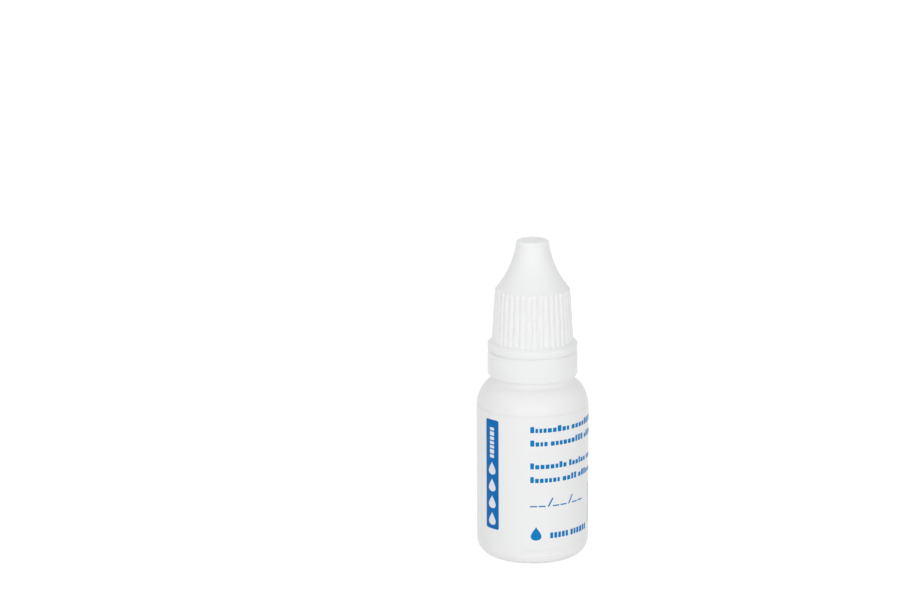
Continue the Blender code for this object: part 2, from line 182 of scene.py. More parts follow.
def rounded(corners, steps=ROUND_STEPS):
    """Cuts each corner of (radius, height, round) back to an arc that touches both of its sides.

    The arc's middle lies on the corner's bisector. With p and q the directions from there to the
    two touching points, a apart, the arc is (sin((1 - s) a) p + sin(s a) q) / sin a for s from 0
    to 1.
    """
    places = np.array([corner[:2] for corner in corners])
    parts = [places[:1]]
    for before, here, after, corner in zip(places, places[1:], places[2:], corners[1:]):
        round_radius = corner[2]
        back = unit(before - here)
        onward = unit(after - here)
        half = np.arccos(back @ onward) / 2
        middle = here + unit(back + onward) * round_radius / np.sin(half)
        first = here + back * round_radius / np.tan(half) - middle
        last = here + onward * round_radius / np.tan(half) - middle
        swing = np.pi - 2 * half
        share = np.linspace(0, 1, steps + 1)[:, None]
        weights = np.sin((1 - share) * swing), np.sin(share * swing)
        parts.append(middle + (weights[0] * first + weights[1] * last) / np.sin(swing))
    return np.vstack(parts + [places[-1:]])


def arc(middle, radius, start, end, steps):
    """The middle plus the radius times (cosine, sine) of evenly spaced angles, in degrees."""
    angle = np.radians(np.linspace(start, end, steps + 1))[:, None]
    return np.array(middle) + radius * np.hstack([np.cos(angle), np.sin(angle)])


def outline(spacing, *parts):
    """Joins stretches into one line and splits runs into equal steps, none above the spacing."""
    points = np.vstack(parts)
    lengths = np.linalg.norm(np.diff(points, axis=0), axis=1)
    points = points[np.append(True, lengths > TINY)]
    lengths = lengths[lengths > TINY]
    counts = np.ceil(lengths / spacing).astype(int)
    run = np.repeat(np.arange(len(counts)), counts)
    step = np.arange(len(run)) - np.repeat(np.cumsum(counts) - counts, counts)
    share = (step / counts[run])[:, None]
    return np.vstack([points[run] * (1 - share) + points[run + 1] * share, points[-1:]])


print("a square corner of 1 mm round has", len(rounded([(0, 0), (0, 5, 1), (5, 5)])), "points")

# %% [markdown]
# ## From a grid to a piece
#
# Every surface below is a grid of places: rows along the outline, columns round the axis.
# Neighbours make a quad. Where a row lies on the axis all its points are one, and where a shape
# closes on itself its last row meets its first, so doubled points are merged and the mesh is
# closed with no special cases for poles. A piece is then given to the body it rides on, and the
# solid that it stands for is hidden.

# %% Build pieces from grids
MERGE_WITHIN = 0.05 * MICRON
SHARP_ABOVE = np.radians(40)


def cylinder(radius, height, angle):
    """Places of a grid in cylinder coordinates: (radius cos angle, radius sin angle, height)."""
    radius, height, angle = np.broadcast_arrays(radius, height, angle)
    return np.stack([radius * np.cos(angle), radius * np.sin(angle), height], axis=-1)


def quads(rows, columns):
    """Corner numbers of the quads between a grid's neighbours, turned so that they face out."""
    number = np.arange(rows * columns).reshape(rows, columns)
    corners = [number[:-1, :-1], number[:-1, 1:], number[1:, 1:], number[1:, :-1]]
    return np.stack(corners, axis=-1).reshape(-1, 4)


def sharpen_rim(mesh):
    """Marks edges of only one face as sharp, so that a sheet's rim doesn't shade its face."""
    uses = np.zeros(len(mesh.loops), dtype=np.int32)
    mesh.loops.foreach_get("edge_index", uses)
    sharp = mesh.attributes.get("sharp_edge")
    sharp = sharp or mesh.attributes.new("sharp_edge", "BOOLEAN", "EDGE")
    marks = np.zeros(len(mesh.edges), dtype=bool)
    sharp.data.foreach_get("value", marks)
    sharp.data.foreach_set("value", marks | (np.bincount(uses, minlength=len(marks)) == 1))


def piece(name, grids, material, body, stands_for=None, thickness=0):
    """Joins grids of places into one mesh object, merges doubled points and gives it to its body.

    A turned grid repeats its first column at the end, and a ring's grid its first row, so merging
    closes them. A sheet gets its thickness outwards, from Solidify, and keeps a crisp rim.
    """
    points = np.vstack([grid.reshape(-1, 3) for grid in grids])
    starts = np.cumsum([0] + [grid.shape[0] * grid.shape[1] for grid in grids])
    faces = np.vstack([quads(*grid.shape[:2]) + start for grid, start in zip(grids, starts)])
    mesh = bpy.data.meshes.new(name)
    mesh.from_pydata(points, [], faces)
    shape = bmesh.new()
    shape.from_mesh(mesh)
    bmesh.ops.remove_doubles(shape, verts=shape.verts, dist=MERGE_WITHIN)
    shape.to_mesh(mesh)
    shape.free()
    mesh.shade_smooth()
    mesh.set_sharp_from_angle(angle=SHARP_ABOVE)
    mesh.materials.append(material)
    made = bpy.data.objects.new(name, mesh)
    bpy.context.collection.objects.link(made)
    if thickness:
        sharpen_rim(mesh)
        wall = made.modifiers.new("film", "SOLIDIFY")
        wall.thickness = thickness
        wall.offset = 1
    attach(made, body)
    if stands_for:
        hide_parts(stands_for)
    triangles = len(mesh.loops) - 2 * len(mesh.polygons)
    print(f"{name}: {len(mesh.vertices)} points, {triangles} triangles, on body {body}")


def around(columns):
    """Angles of a turned grid's columns from the front, with the first again at the end."""
    return FRONT + FULL_TURN * np.arange(columns + 1) / columns


print("a full turn in 8 columns, degrees:", np.degrees(around(8)).round(0).tolist())

# %% [markdown]
# ## A small language for finishes
#
# Shader nodes are hard to read as a list of links. Here one output of a node is wrapped in a
# Signal, and plain arithmetic on signals adds the Math nodes. Any other node comes from one
# method, which sets the node's own choices first and then the values or links of its sockets. A
# number that is the same everywhere goes straight to the shader's socket.

# %% Wrap sockets
class Signal:
    """One output of a node. Arithmetic on it adds Math nodes."""

    def __init__(self, board, socket):
        self.board = board
        self.socket = socket

    def math(self, operation, first, second):
        """A Math node of two inputs."""
        return self.board.node("Math", {"operation": operation}, {0: first, 1: second})

    def __add__(self, other):
        return self.math("ADD", self, other)

    def __radd__(self, other):
        return self.math("ADD", other, self)

    def __sub__(self, other):
        return self.math("SUBTRACT", self, other)

    def __rsub__(self, other):
        return self.math("SUBTRACT", other, self)

    def __mul__(self, other):
        return self.math("MULTIPLY", self, other)

    def __rmul__(self, other):
        return self.math("MULTIPLY", other, self)

    def largest(self, other):
        """The larger of two values."""
        return self.math("MAXIMUM", self, other)

    def above(self, low, high):
        """0 below low, 1 above high, and a smooth slope between them."""
        settings = {"interpolation_type": "SMOOTHSTEP"}
        inputs = {"Value": self, "From Min": low, "From Max": high}
        return self.board.node("MapRange", settings, inputs)


class Board:
    """The node tree of one material, or of the world."""

    def __init__(self, tree):
        self.tree = tree
        tree.nodes.clear()

    def node(self, kind, settings, inputs, output=0):
        """Adds a node: first its settings, then its sockets' values or links. Gives one output."""
        made = self.tree.nodes.new("ShaderNode" + kind)
        for name, value in settings.items():
            setattr(made, name, value)
        for name, value in inputs.items():
            if isinstance(value, Signal):
                self.tree.links.new(value.socket, made.inputs[name])
            else:
                made.inputs[name].default_value = value
        return Signal(self, made.outputs[output]) if made.outputs else None

    def place(self):
        """Where a point lies on the finished piece: Object coordinates, in metres."""
        return self.node("TexCoord", {}, {}, "Object")

    def stretched(self, place, scale):
        """A place whose axes are scaled one by one, so that a noise read there is drawn out."""
        return self.node("Mapping", {}, {"Vector": place, "Scale": scale})

    def noise(self, place, scale, detail=2.0):
        """Cloudy noise about 0.5, with features one over the scale wide, in metres."""
        inputs = {"Vector": place, "Scale": scale, "Detail": detail}
        return self.node("TexNoise", {}, inputs, "Fac")

    def blend(self, share, first, second):
        """A mix of two colours: the node's sockets 6 and 7, and its output 2."""
        return self.node("Mix", {"data_type": "RGBA"}, {0: share, 6: first, 7: second}, 2)

    def bump(self, strength, depth, height):
        """The normal of a surface that is raised by a depth times a signal."""
        return self.node("Bump", {}, {"Strength": strength, "Distance": depth, "Height": height})

    def shade(self, paint, gloss, normal, ior, more=None):
        """Leads a Principled shader to the output, with more inputs where it is given them."""
        inputs = {"Base Color": paint, "Roughness": gloss, "Normal": normal, "IOR": ior}
        shader = self.node("BsdfPrincipled", {}, inputs | (more or {}))
        self.node("OutputMaterial", {}, {"Surface": shader})


def finish_board(name):
    """A new material, with its board."""
    material = bpy.data.materials.new(name)
    material.use_nodes = True
    return material, Board(material.node_tree)


print("finishes read each piece's own Object coordinates, in metres")

# %% [markdown]
# ## White mouldings
#
# The cap, the ring, the body and the dropper are all white polyolefin, but each is finished by
# its mould. The cap and ring come from a fine-matt steel mould. The blown body is waxy, with
# faint streaks down its height where the soft tube was drawn. The dropper is unpigmented, a shade
# greyer and glossier. What they share: colour that clouds by about a hundredth, an uneven gloss,
# and a fine orange peel that breaks up highlights.
#
# Pictures could be laid on for all this, but noise has no seams and stays sharp however near the
# camera comes. Light soaks a little way into such plastic, so a part of it scatters under the
# surface and softens the grooves. The ring has less of that, to keep the cut above it crisp.

# %% Make the whites
CLOUD_SCALE = 70
PEEL_SCALE = 900
SPECK_SCALE = 4200
PEEL_DEPTH = 6 * MICRON
STREAK_STRETCH = (1, 1, 0.04)
CLOUD_EDGES = (0.3, 0.7)
CLOUD_TINT = 0.012
CLOUD_IN_PAINT = 0.8
SPECK_IN_PAINT = 0.2
CLOUD_IN_GLOSS = 0.12
SPECK_IN_GLOSS = 0.06
STREAK_IN_GLOSS = 0.1
SPECK_IN_PEEL = 0.25
NOISE_MIDDLE = 0.5
SOAK_DEPTH = 0.5 * MM
PLASTIC_IOR = 1.38


def tint(colour, share):
    """A colour scaled by a share, with alpha."""
    return (*[channel * share for channel in colour], 1)


def white_plastic(name, colour, roughness, peel=1.0, soak=0.0, streaks=0.0):
    """A white moulding: clouded colour, uneven gloss and orange peel, with drawn-out streaks."""
    material, board = finish_board(name)
    place = board.place()
    clouds = board.noise(place, CLOUD_SCALE)
    specks = board.noise(place, SPECK_SCALE, detail=1.0)
    peel_height = board.noise(place, PEEL_SCALE, detail=1.0)
    lines = board.noise(board.stretched(place, STREAK_STRETCH), PEEL_SCALE, detail=1.0)
    off_lines = lines - NOISE_MIDDLE
    share = clouds.above(*CLOUD_EDGES) * CLOUD_IN_PAINT + specks * SPECK_IN_PAINT
    paint = board.blend(
        share + off_lines * streaks, tint(colour, 1 - CLOUD_TINT), tint(colour, 1 + CLOUD_TINT)
    )
    gloss = roughness + (clouds - NOISE_MIDDLE) * CLOUD_IN_GLOSS
    gloss += (specks - NOISE_MIDDLE) * SPECK_IN_GLOSS
    gloss += off_lines * STREAK_IN_GLOSS * streaks
    surface = peel_height + specks * SPECK_IN_PEEL + lines * streaks
    board.shade(paint, gloss, board.bump(peel, PEEL_DEPTH, surface), PLASTIC_IOR, {
        "Subsurface Weight": soak,
        "Subsurface Radius": (1.0, 1.0, 1.0),
        "Subsurface Scale": SOAK_DEPTH,
    })
    return material


cap_white = white_plastic("cap_white", (0.905, 0.91, 0.91), roughness=0.33, peel=0.15, soak=0.5)
ring_white = white_plastic("ring_white", (0.9, 0.905, 0.905), roughness=0.3, peel=0.4, soak=0.2)
body_white = white_plastic(
    "body_white", (0.905, 0.905, 0.902), roughness=0.36, peel=0.6, soak=0.5, streaks=0.5
)
dropper_natural = white_plastic("dropper_natural", (0.84, 0.85, 0.855), roughness=0.28, soak=0.5)
print("whites made:", cap_white.name, ring_white.name, body_white.name, dropper_natural.name)

# %% [markdown]
# ## Threads
#
# A thread is a helix that stands on a cylinder. It could be swept as a ridge and joined on, but
# the wall is already a fine grid, so the thread is made as a height field: at each grid point,
# how far is the nearest turn of the helix, up or down? Near a turn the wall is pushed out by the
# thread's depth, with sloping flanks, and each end of the helix fades into the wall. The same
# function serves the neck, outwards, and the cap, inwards.

# %% Push threads out of a wall
THREAD_PITCH = 3.0 * MM
THREAD_DEPTH = 0.75 * MM
THREAD_ROOT_WIDTH = 1.5 * MM
THREAD_CREST_WIDTH = 0.7 * MM
THREAD_FADE_SHARE = 0.12
NECK_THREAD_TURNS = 1.5
CAP_THREAD_TURNS = 1.25
CAP_THREAD_START_SHARE = 0.4


def ease(share):
    """Clips a share to 0 to 1 and rounds both ends of its slope: 3 s squared minus 2 s cubed."""
    share = np.clip(share, 0, 1)
    return share * share * (3 - 2 * share)


def thread_rise(height, angle, foot, turns, start_share):
    """How much of the thread's depth stands at each grid point, from 0 to 1.

    Turn t of the helix is at height foot + pitch t and angle start + t turns. For each whole number
    of turns the point's t follows from its angle, and the flank falls from crest width to root
    width with the distance.
    """
    first = np.mod(angle / FULL_TURN - start_share, 1)
    flank = (THREAD_ROOT_WIDTH - THREAD_CREST_WIDTH) / 2
    rise = 0
    for whole in range(int(np.ceil(turns))):
        turned = first + whole
        distance = np.abs(height - foot - THREAD_PITCH * turned)
        ridge = ease((THREAD_ROOT_WIDTH / 2 - distance) / flank)
        grown = ease(np.minimum(turned, turns - turned) / THREAD_FADE_SHARE)
        rise = np.maximum(rise, ridge * grown)
    return rise


print("thread pitch, mm:", round(THREAD_PITCH / MM, 2))

# %% [markdown]
# ## The blown body
#
# The body is blown from a soft tube inside a two-part mould. Its foot has a shallow dome, so that
# it stands on a ring and not on its weld, and a generous round leads to the upright side. The
# shoulder is fuller than a circle, which a superellipse gives. Above it are the step that the
# ring sits on, the bead that holds the ring down, and the thread. Where the mould's halves meet,
# a faint seam runs up both sides and across the foot, so the columns of the grid crowd together
# there: the angle is u minus a share of sin(2u) / 2.

# %% Body sizes
WALL = 0.9 * MM
BASE_CORNER = 3.3 * MM
FOOT_WIDTH = 1.5 * MM
FOOT_ROUND = 0.35 * MM
FOOT_RIM = 0.1 * FOOT_ROUND
FOOT_ROUND_START = -115
PUSH_UP = 1.3 * MM
SIDE_TOP = 33.5 * MM
SHOULDER_RISE = 6.75 * MM
SHOULDER_TOP_RADIUS = 7.9 * MM
SHOULDER_EXPONENT = 2.2
STEP_WIDTH = 1.3 * MM
STEP_ROOT = 0.35 * MM
STEP_GAP = 0.04 * MM
NECK_RADIUS = 6.4 * MM
NECK_WALL = 1.4 * MM
NECK_FILLET = 0.6 * MM
NECK_EDGE = 0.3 * MM
EDGE_ROUND = 0.12 * MM
SEAT_GAP = 0.3 * MM
SNAP_BEAD_REACH = 2.3 * MM
SNAP_BEAD_LAND = 0.5 * MM
SNAP_BEAD_SLOPE = 1.6 * MM
HOOK_BASE = 0.3 * MM
HOOK_SLOPE = 0.8 * MM
HOOK_HEIGHT = 0.6 * MM
BODY_SPACING = 0.7 * MM
NECK_SPACING = 0.14 * MM
INSIDE_SPACING = 2 * BODY_SPACING

shoulder_top = SIDE_TOP + SHOULDER_RISE
step_radius = SHOULDER_TOP_RADIUS + STEP_WIDTH
step_top = ring_foot - STEP_GAP
neck_bore = NECK_RADIUS - NECK_WALL
snap_bead_radius = NECK_RADIUS + SNAP_BEAD_REACH
hook_top = ring_foot + HOOK_BASE + HOOK_SLOPE + HOOK_HEIGHT
snap_bead_foot = hook_top + SEAT_GAP
snap_bead_top = snap_bead_foot + SNAP_BEAD_LAND
print("snap bead, mm:", round(snap_bead_foot / MM, 2), "to", round(snap_bead_top / MM, 2))

# %% Foot, shoulder and neck root
DOME_STEPS = 14
FOOT_ROUND_STEPS = 3
BASE_STEPS = 22
SHOULDER_STEPS = 30
NECK_ROOT_STEPS = 10


def dome(rim_radius, rim_height, steps):
    """The push-up under the foot: a parabola from the axis, where it is highest, to its rim."""
    share = np.linspace(0, 1, steps + 1)
    return np.stack([rim_radius * share, rim_height + PUSH_UP * (1 - share**2)], axis=1)


def shoulder(side_radius, end_radius, rise, steps):
    """A superellipse: cosine and sine of an angle, each to the power of 2 over the exponent."""
    width = side_radius - SHOULDER_TOP_RADIUS
    end_share = (end_radius - SHOULDER_TOP_RADIUS) / width
    end_angle = np.arccos(end_share ** (SHOULDER_EXPONENT / 2))
    angle = np.linspace(0, end_angle, steps + 1)
    inwards = np.cos(angle) ** (2 / SHOULDER_EXPONENT)
    upwards = np.sin(angle) ** (2 / SHOULDER_EXPONENT)
    return np.stack([SHOULDER_TOP_RADIUS + width * inwards, SIDE_TOP + rise * upwards], axis=1)


def neck_root(shoulder_line):
    """The hollow round from the shoulder to the step's upright side.

    It starts with the shoulder's last slope, so its radius is the way in to the step over 1 - sine
    of the slope.
    """
    end = shoulder_line[-1]
    along = unit(end - shoulder_line[-2])
    round_radius = STEP_ROOT / (1 - along[1])
    middle = end + round_radius * np.array([along[1], -along[0]])
    start = 270 - np.degrees(np.arcsin(along[1]))
    return arc(middle, round_radius, start, 180, NECK_ROOT_STEPS)


domed_shoulder = shoulder(body_radius, step_radius + STEP_ROOT, SHOULDER_RISE, SHOULDER_STEPS)
print("shoulder ends at height, mm:", round(domed_shoulder[-1, 1] / MM, 2))

# %% Body outline
INNER_DOME_STEPS = 8
INNER_BASE_STEPS = 10
INNER_SHOULDER_STEPS = 14
INNER_NECK_STEPS = 5


def body_outline():
    """Out along the foot, up the outside, over the neck's rim and down the inside."""
    corner_radius = body_radius - BASE_CORNER
    rim_radius = corner_radius - FOOT_WIDTH
    foot = outline(
        BODY_SPACING,
        dome(rim_radius - FOOT_ROUND, FOOT_RIM, DOME_STEPS),
        arc((rim_radius, FOOT_ROUND), FOOT_ROUND, FOOT_ROUND_START, -90, FOOT_ROUND_STEPS),
        arc((corner_radius, BASE_CORNER), BASE_CORNER, -90, 0, BASE_STEPS),
        domed_shoulder,
        neck_root(domed_shoulder),
    )
    neck = outline(
        NECK_SPACING,
        foot[-1:],
        rounded([
            foot[-1],
            (step_radius, step_top, EDGE_ROUND),
            (NECK_RADIUS, step_top, NECK_FILLET),
            (NECK_RADIUS, snap_bead_foot, EDGE_ROUND),
            (snap_bead_radius, snap_bead_foot, EDGE_ROUND),
            (snap_bead_radius, snap_bead_top, EDGE_ROUND),
            (NECK_RADIUS, snap_bead_top + SNAP_BEAD_SLOPE, NECK_FILLET),
            (NECK_RADIUS, neck_top, NECK_EDGE),
            (neck_bore, neck_top, NECK_EDGE),
            (neck_bore, neck_top - NECK_FILLET),
        ]),
    )
    fillet_middle = (neck_bore + NECK_FILLET, shoulder_top - WALL + NECK_FILLET)
    inner_radius, inner_rise = body_radius - WALL, SHOULDER_RISE - WALL
    inside = outline(
        INSIDE_SPACING,
        neck[-1:],
        arc(fillet_middle, NECK_FILLET, 180, 270, INNER_NECK_STEPS),
        shoulder(inner_radius, SHOULDER_TOP_RADIUS, inner_rise, INNER_SHOULDER_STEPS)[::-1],
        arc((corner_radius, BASE_CORNER), BASE_CORNER - WALL, 0, -90, INNER_BASE_STEPS),
        dome(rim_radius, WALL, INNER_DOME_STEPS)[::-1],
    )
    return np.vstack([foot, neck[1:], inside[1:]])


body_line = body_outline()
print("body outline:", len(body_line), "points")

# %% Body surface
BODY_COLUMNS = 240
SEAM_CROWDING = 0.72
SEAM_HEIGHT = 0.05 * MM
SEAM_WIDTH = 0.13 * MM
FILM_CLEAR = 0.3 * MM
THREAD_FOOT = 50.4 * MM


def body_grid():
    """Sweeps the outline round, then pushes out the neck's thread and the mould's seam.

    The seam is a bell curve of the distance from the plane between the mould's halves, and fades
    out under the label, which lies flat. Both are pushed along the outline's own normal, which is
    upright on the axis, so that the pole stays one point.
    """
    even = around(BODY_COLUMNS)
    angle = (even - SEAM_CROWDING * np.sin(2 * even) / 2)[None, :]
    radius, height = body_line[:, :1], body_line[:, 1:]
    along = np.gradient(body_line, axis=0)
    normal = np.stack([along[:, 1], -along[:, 0]], axis=1)
    normal /= np.linalg.norm(normal, axis=1, keepdims=True)
    normal[:, 0] *= body_line[:, 0] > TINY
    row = np.arange(len(body_line))[:, None]
    outside = row < np.argmax(body_line[:, 1])
    aside = radius * np.sin(angle)
    under_film = ease((height - film_foot + FILM_CLEAR) / FILM_CLEAR)
    under_film *= ease((film_top + FILM_CLEAR - height) / FILM_CLEAR)
    below_neck = ease((step_top - height) / SEAT_GAP)
    off_floor = ease((height - SEAM_HEIGHT) / SEAT_GAP)
    seam = SEAM_HEIGHT * np.exp(-((aside / SEAM_WIDTH) ** 2))
    seam *= (1 - under_film) * below_neck * off_floor * outside
    thread = THREAD_DEPTH * thread_rise(height, angle, THREAD_FOOT, NECK_THREAD_TURNS, 0)
    pushed = seam + thread * outside * (height > snap_bead_top + SNAP_BEAD_SLOPE)
    return cylinder(radius + pushed * normal[:, :1], height + pushed * normal[:, 1:], angle)


piece("bottle_body", [body_grid()], body_white, "bottle", "bottle")

# %% [markdown]
# ## The dropper moulding
#
# Under the cap a soft plug is pressed into the neck. Two rings seal it, a flange rests on the
# neck's rim, and a slim nozzle ends in a small cup with a fine bore, which sets the size of the
# drop. It is one closed outline, a ring of corners, because the bore goes right through.

# %% Dropper sizes
PLUG_GAP = 0.08 * MM
PLUG_WALL = 1.1 * MM
PLUG_RELIEF = 0.22 * MM
PLUG_LEAD = 0.7 * MM
SEAL_HEIGHT = 0.9 * MM
SEAL_SPACING = 2.4 * MM
FLANGE_GAP = 0.1 * MM
FLANGE_INSET = 0.2 * MM
FLANGE_THICKNESS = 0.8 * MM
FLANGE_EDGE = 0.2 * MM
NOZZLE_FOOT_RADIUS = 3.9 * MM
NOZZLE_TIP_RADIUS = 2.0 * MM
NOZZLE_WALL = 1.1 * MM
NOZZLE_ROUND = 0.5 * MM
MOUTH_RADIUS = 1.0 * MM
MOUTH_DEPTH = 1.1 * MM
MOUTH_ROUND = 0.1 * MM
ORIFICE_RADIUS = 0.25 * MM
ORIFICE_LENGTH = 1.4 * MM
ORIFICE_FUNNEL = 0.9 * MM
DROPPER_SPACING = 0.3 * MM
DROPPER_COLUMNS = 192

flange_foot = neck_top + FLANGE_GAP
flange_top = flange_foot + FLANGE_THICKNESS
seal_radius = neck_bore - PLUG_GAP
relief_radius = seal_radius - PLUG_RELIEF
print("flange, mm:", round(flange_foot / MM, 2), "to", round(flange_top / MM, 2))


# %% Dropper
def seal_corners(foot):
    """The four corners of one sealing ring on the plug."""
    return [
        (relief_radius, foot - PLUG_RELIEF, MOUTH_ROUND),
        (seal_radius, foot, MOUTH_ROUND),
        (seal_radius, foot + SEAL_HEIGHT, MOUTH_ROUND),
        (relief_radius, foot + SEAL_HEIGHT + PLUG_RELIEF, MOUTH_ROUND),
    ]


def dropper_outline():
    """From the middle of the plug's foot out, up to the tip, down the bore and back."""
    hollow = seal_radius - PLUG_WALL
    flange_radius = NECK_RADIUS - FLANGE_INSET
    mouth_foot = nozzle_top - MOUTH_DEPTH
    orifice_foot = mouth_foot - ORIFICE_LENGTH
    start = ((relief_radius + hollow) / 2, plug_foot)
    lower_seal = plug_foot + PLUG_LEAD
    return outline(DROPPER_SPACING, rounded(
        [start, (relief_radius, plug_foot, MOUTH_ROUND)]
        + seal_corners(lower_seal)
        + seal_corners(lower_seal + SEAL_SPACING)
        + [
            (relief_radius, flange_foot, MOUTH_ROUND),
            (flange_radius, flange_foot, FLANGE_EDGE),
            (flange_radius, flange_top, FLANGE_EDGE),
            (NOZZLE_FOOT_RADIUS, flange_top, NOZZLE_ROUND),
            (NOZZLE_TIP_RADIUS, nozzle_top, NOZZLE_ROUND),
            (MOUTH_RADIUS, nozzle_top, MOUTH_ROUND),
            (ORIFICE_RADIUS, mouth_foot, MOUTH_ROUND),
            (ORIFICE_RADIUS, orifice_foot, MOUTH_ROUND),
            (NOZZLE_TIP_RADIUS - NOZZLE_WALL, orifice_foot - ORIFICE_FUNNEL, MOUTH_ROUND),
            (NOZZLE_FOOT_RADIUS - NOZZLE_WALL, flange_foot, MOUTH_ROUND),
            (hollow, neck_top - PLUG_WALL, MOUTH_ROUND),
            (hollow, plug_foot, MOUTH_ROUND),
            start,
        ]
    ))


dropper_line = dropper_outline()
dropper_angle = around(DROPPER_COLUMNS)[None, :]
dropper_grid = cylinder(dropper_line[:, :1], dropper_line[:, 1:], dropper_angle)
piece(
    "dropper_moulding",
    [dropper_grid],
    dropper_natural,
    "bottle",
    "dropper_insert",
)

# %% [markdown]
# ## The ring
#
# The ring was moulded with the cap and parted from it by a knife, all but eight thin webs. Its
# hook snaps under the neck's bead, so when the cap is first turned the webs tear and the ring
# stays. A lip behind the knife's cut nearly closes it. Only at four short openings, two at each
# side, is the lip lower and the cut darker. High on the ring's side runs a hair-fine ledge, where
# two parts of the mould meet.
#
# Webs and lip could be small blocks set on the ring, but their joints would show. Here they are
# windows in the angle times windows in the radius, lifted on the rows that form the top, so the
# ring stays one closed surface.

# %% Ring sizes
RING_HEIGHT = 5.65 * MM
RING_WALL = 1.05 * MM
RING_FOOT_ROUND = 0.7 * MM
RING_FOOT_STEPS = 10
RING_TOP_ROUND = 0.065 * MM
RING_RIM_ROUND = 0.9 * EDGE_ROUND
LEDGE_DROP = 0.9 * MM
LEDGE_WIDTH = 0.05 * MM
HOOK_BITE = 0.35 * MM
BRIDGE_COUNT = 8
BRIDGE_WIDTH = 1.1 * MM
BRIDGE_THICKNESS = 0.25 * MM
BRIDGE_INSET = 0.1 * MM
BRIDGE_GAP = 0.004 * MM
BRIDGE_FLANK = 0.06 * MM
LIP_THICKNESS = 0.6 * MM
LIP_FLANK = 0.02 * MM
OPENING_ANGLE = np.radians(50)
OPENING_HALF_WIDTH = np.radians(10)
OPENING_LIP_SHARE = 0.6
OPENING_FLANK = 0.5 * MM
RING_SPACING = 0.25 * MM
RING_TOP_SPACING = 0.02 * MM
RING_COLUMNS = 60 * BRIDGE_COUNT

ring_top = ring_foot + RING_HEIGHT
ring_bore = ring_radius - RING_WALL
print("cut between ring and cap, mm:", round((cap_foot - ring_top) / MM, 3))


# %% Ring outline
def ring_outline():
    """Out along the foot, up the outside, over the top and down past the hook."""
    hook_radius = snap_bead_radius - HOOK_BITE
    start = (ring_radius - RING_FOOT_ROUND, ring_foot)
    foot_middle = (start[0], ring_foot + RING_FOOT_ROUND)
    flat_end = (ring_radius - RING_TOP_ROUND, ring_top)
    ledge = ring_top - LEDGE_DROP
    lower = outline(
        RING_SPACING,
        arc(foot_middle, RING_FOOT_ROUND, -90, 0, RING_FOOT_STEPS),
        rounded([
            (ring_radius, ring_foot + 2 * RING_FOOT_ROUND),
            (ring_radius, ledge, LEDGE_WIDTH),
            (ring_radius - LEDGE_WIDTH, ledge + LEDGE_WIDTH, LEDGE_WIDTH),
            (ring_radius - LEDGE_WIDTH, ring_top, RING_TOP_ROUND - LEDGE_WIDTH),
            flat_end,
        ]),
    )
    top = outline(RING_TOP_SPACING, [flat_end, (ring_bore + EDGE_ROUND, ring_top)])
    bore = outline(RING_SPACING, rounded([
        top[-1],
        (ring_bore, ring_top, RING_RIM_ROUND),
        (ring_bore, hook_top, EDGE_ROUND),
        (hook_radius, hook_top, EDGE_ROUND),
        (hook_radius, hook_top - HOOK_HEIGHT, EDGE_ROUND),
        (ring_bore, ring_foot + HOOK_BASE, EDGE_ROUND),
        (ring_bore, ring_foot, EDGE_ROUND),
        start,
    ]))
    return np.vstack([lower, top[1:], bore[1:]])


ring_line = ring_outline()
print("ring outline:", len(ring_line), "points")


# %% Ring surface
def ring_grid():
    """Sweeps the ring's outline round and lifts the webs' stubs and the lip out of its top.

    Openings are measured from the front and from the back, so they lie alike on both sides.
    """
    angle = around(RING_COLUMNS)[None, :]
    radius, height = ring_line[:, :1], ring_line[:, 1:]
    sector = FULL_TURN / BRIDGE_COUNT
    off_web = np.abs(np.mod(angle - FRONT, sector) - sector / 2) * ring_bore
    web_inner = ring_bore + BRIDGE_INSET
    web_outer = web_inner + BRIDGE_THICKNESS
    web = ease((radius - web_inner) / BRIDGE_FLANK) * ease((web_outer - radius) / BRIDGE_FLANK)
    web = web * ease((BRIDGE_WIDTH / 2 - off_web) / BRIDGE_FLANK + 0.5)
    lip_outer = ring_radius - RING_TOP_ROUND
    lip = ease((radius - lip_outer + LIP_THICKNESS) / LIP_FLANK)
    lip = lip * ease((lip_outer - radius) / LIP_FLANK)
    turned = np.abs(np.mod(angle - FRONT + np.pi / 2, np.pi) - np.pi / 2)
    past_opening = (np.abs(turned - OPENING_ANGLE) - OPENING_HALF_WIDTH) * ring_bore
    full = ease(past_opening / OPENING_FLANK + 0.5)
    lip = lip * (OPENING_LIP_SHARE + (1 - OPENING_LIP_SHARE) * full)
    lift = (cap_foot - BRIDGE_GAP - ring_top) * np.maximum(web, lip)
    return cylinder(radius, height + lift * (height > ring_top - EDGE_ROUND), angle)


piece("neck_ring", [ring_grid()], ring_white, "ring", "tamper_ring")

# %% [markdown]
# ## The spire cap
#
# The cap is what the fingers know: a bead at its foot with a sloped top, a grip of 38 soft ribs
# with narrow grooves, and a spire with hollow sides that follows the nozzle. Ribs could be cut
# with Booleans, but a rib is simply the difference between two outlines, one through a groove and
# one over a crest, drawn with the same number of points. The grid takes a mix of both, and the
# mix goes up and down round the axis as a wave with broad tops. The columns crowd together on a
# rib's two flanks, and lie alike on all 38.

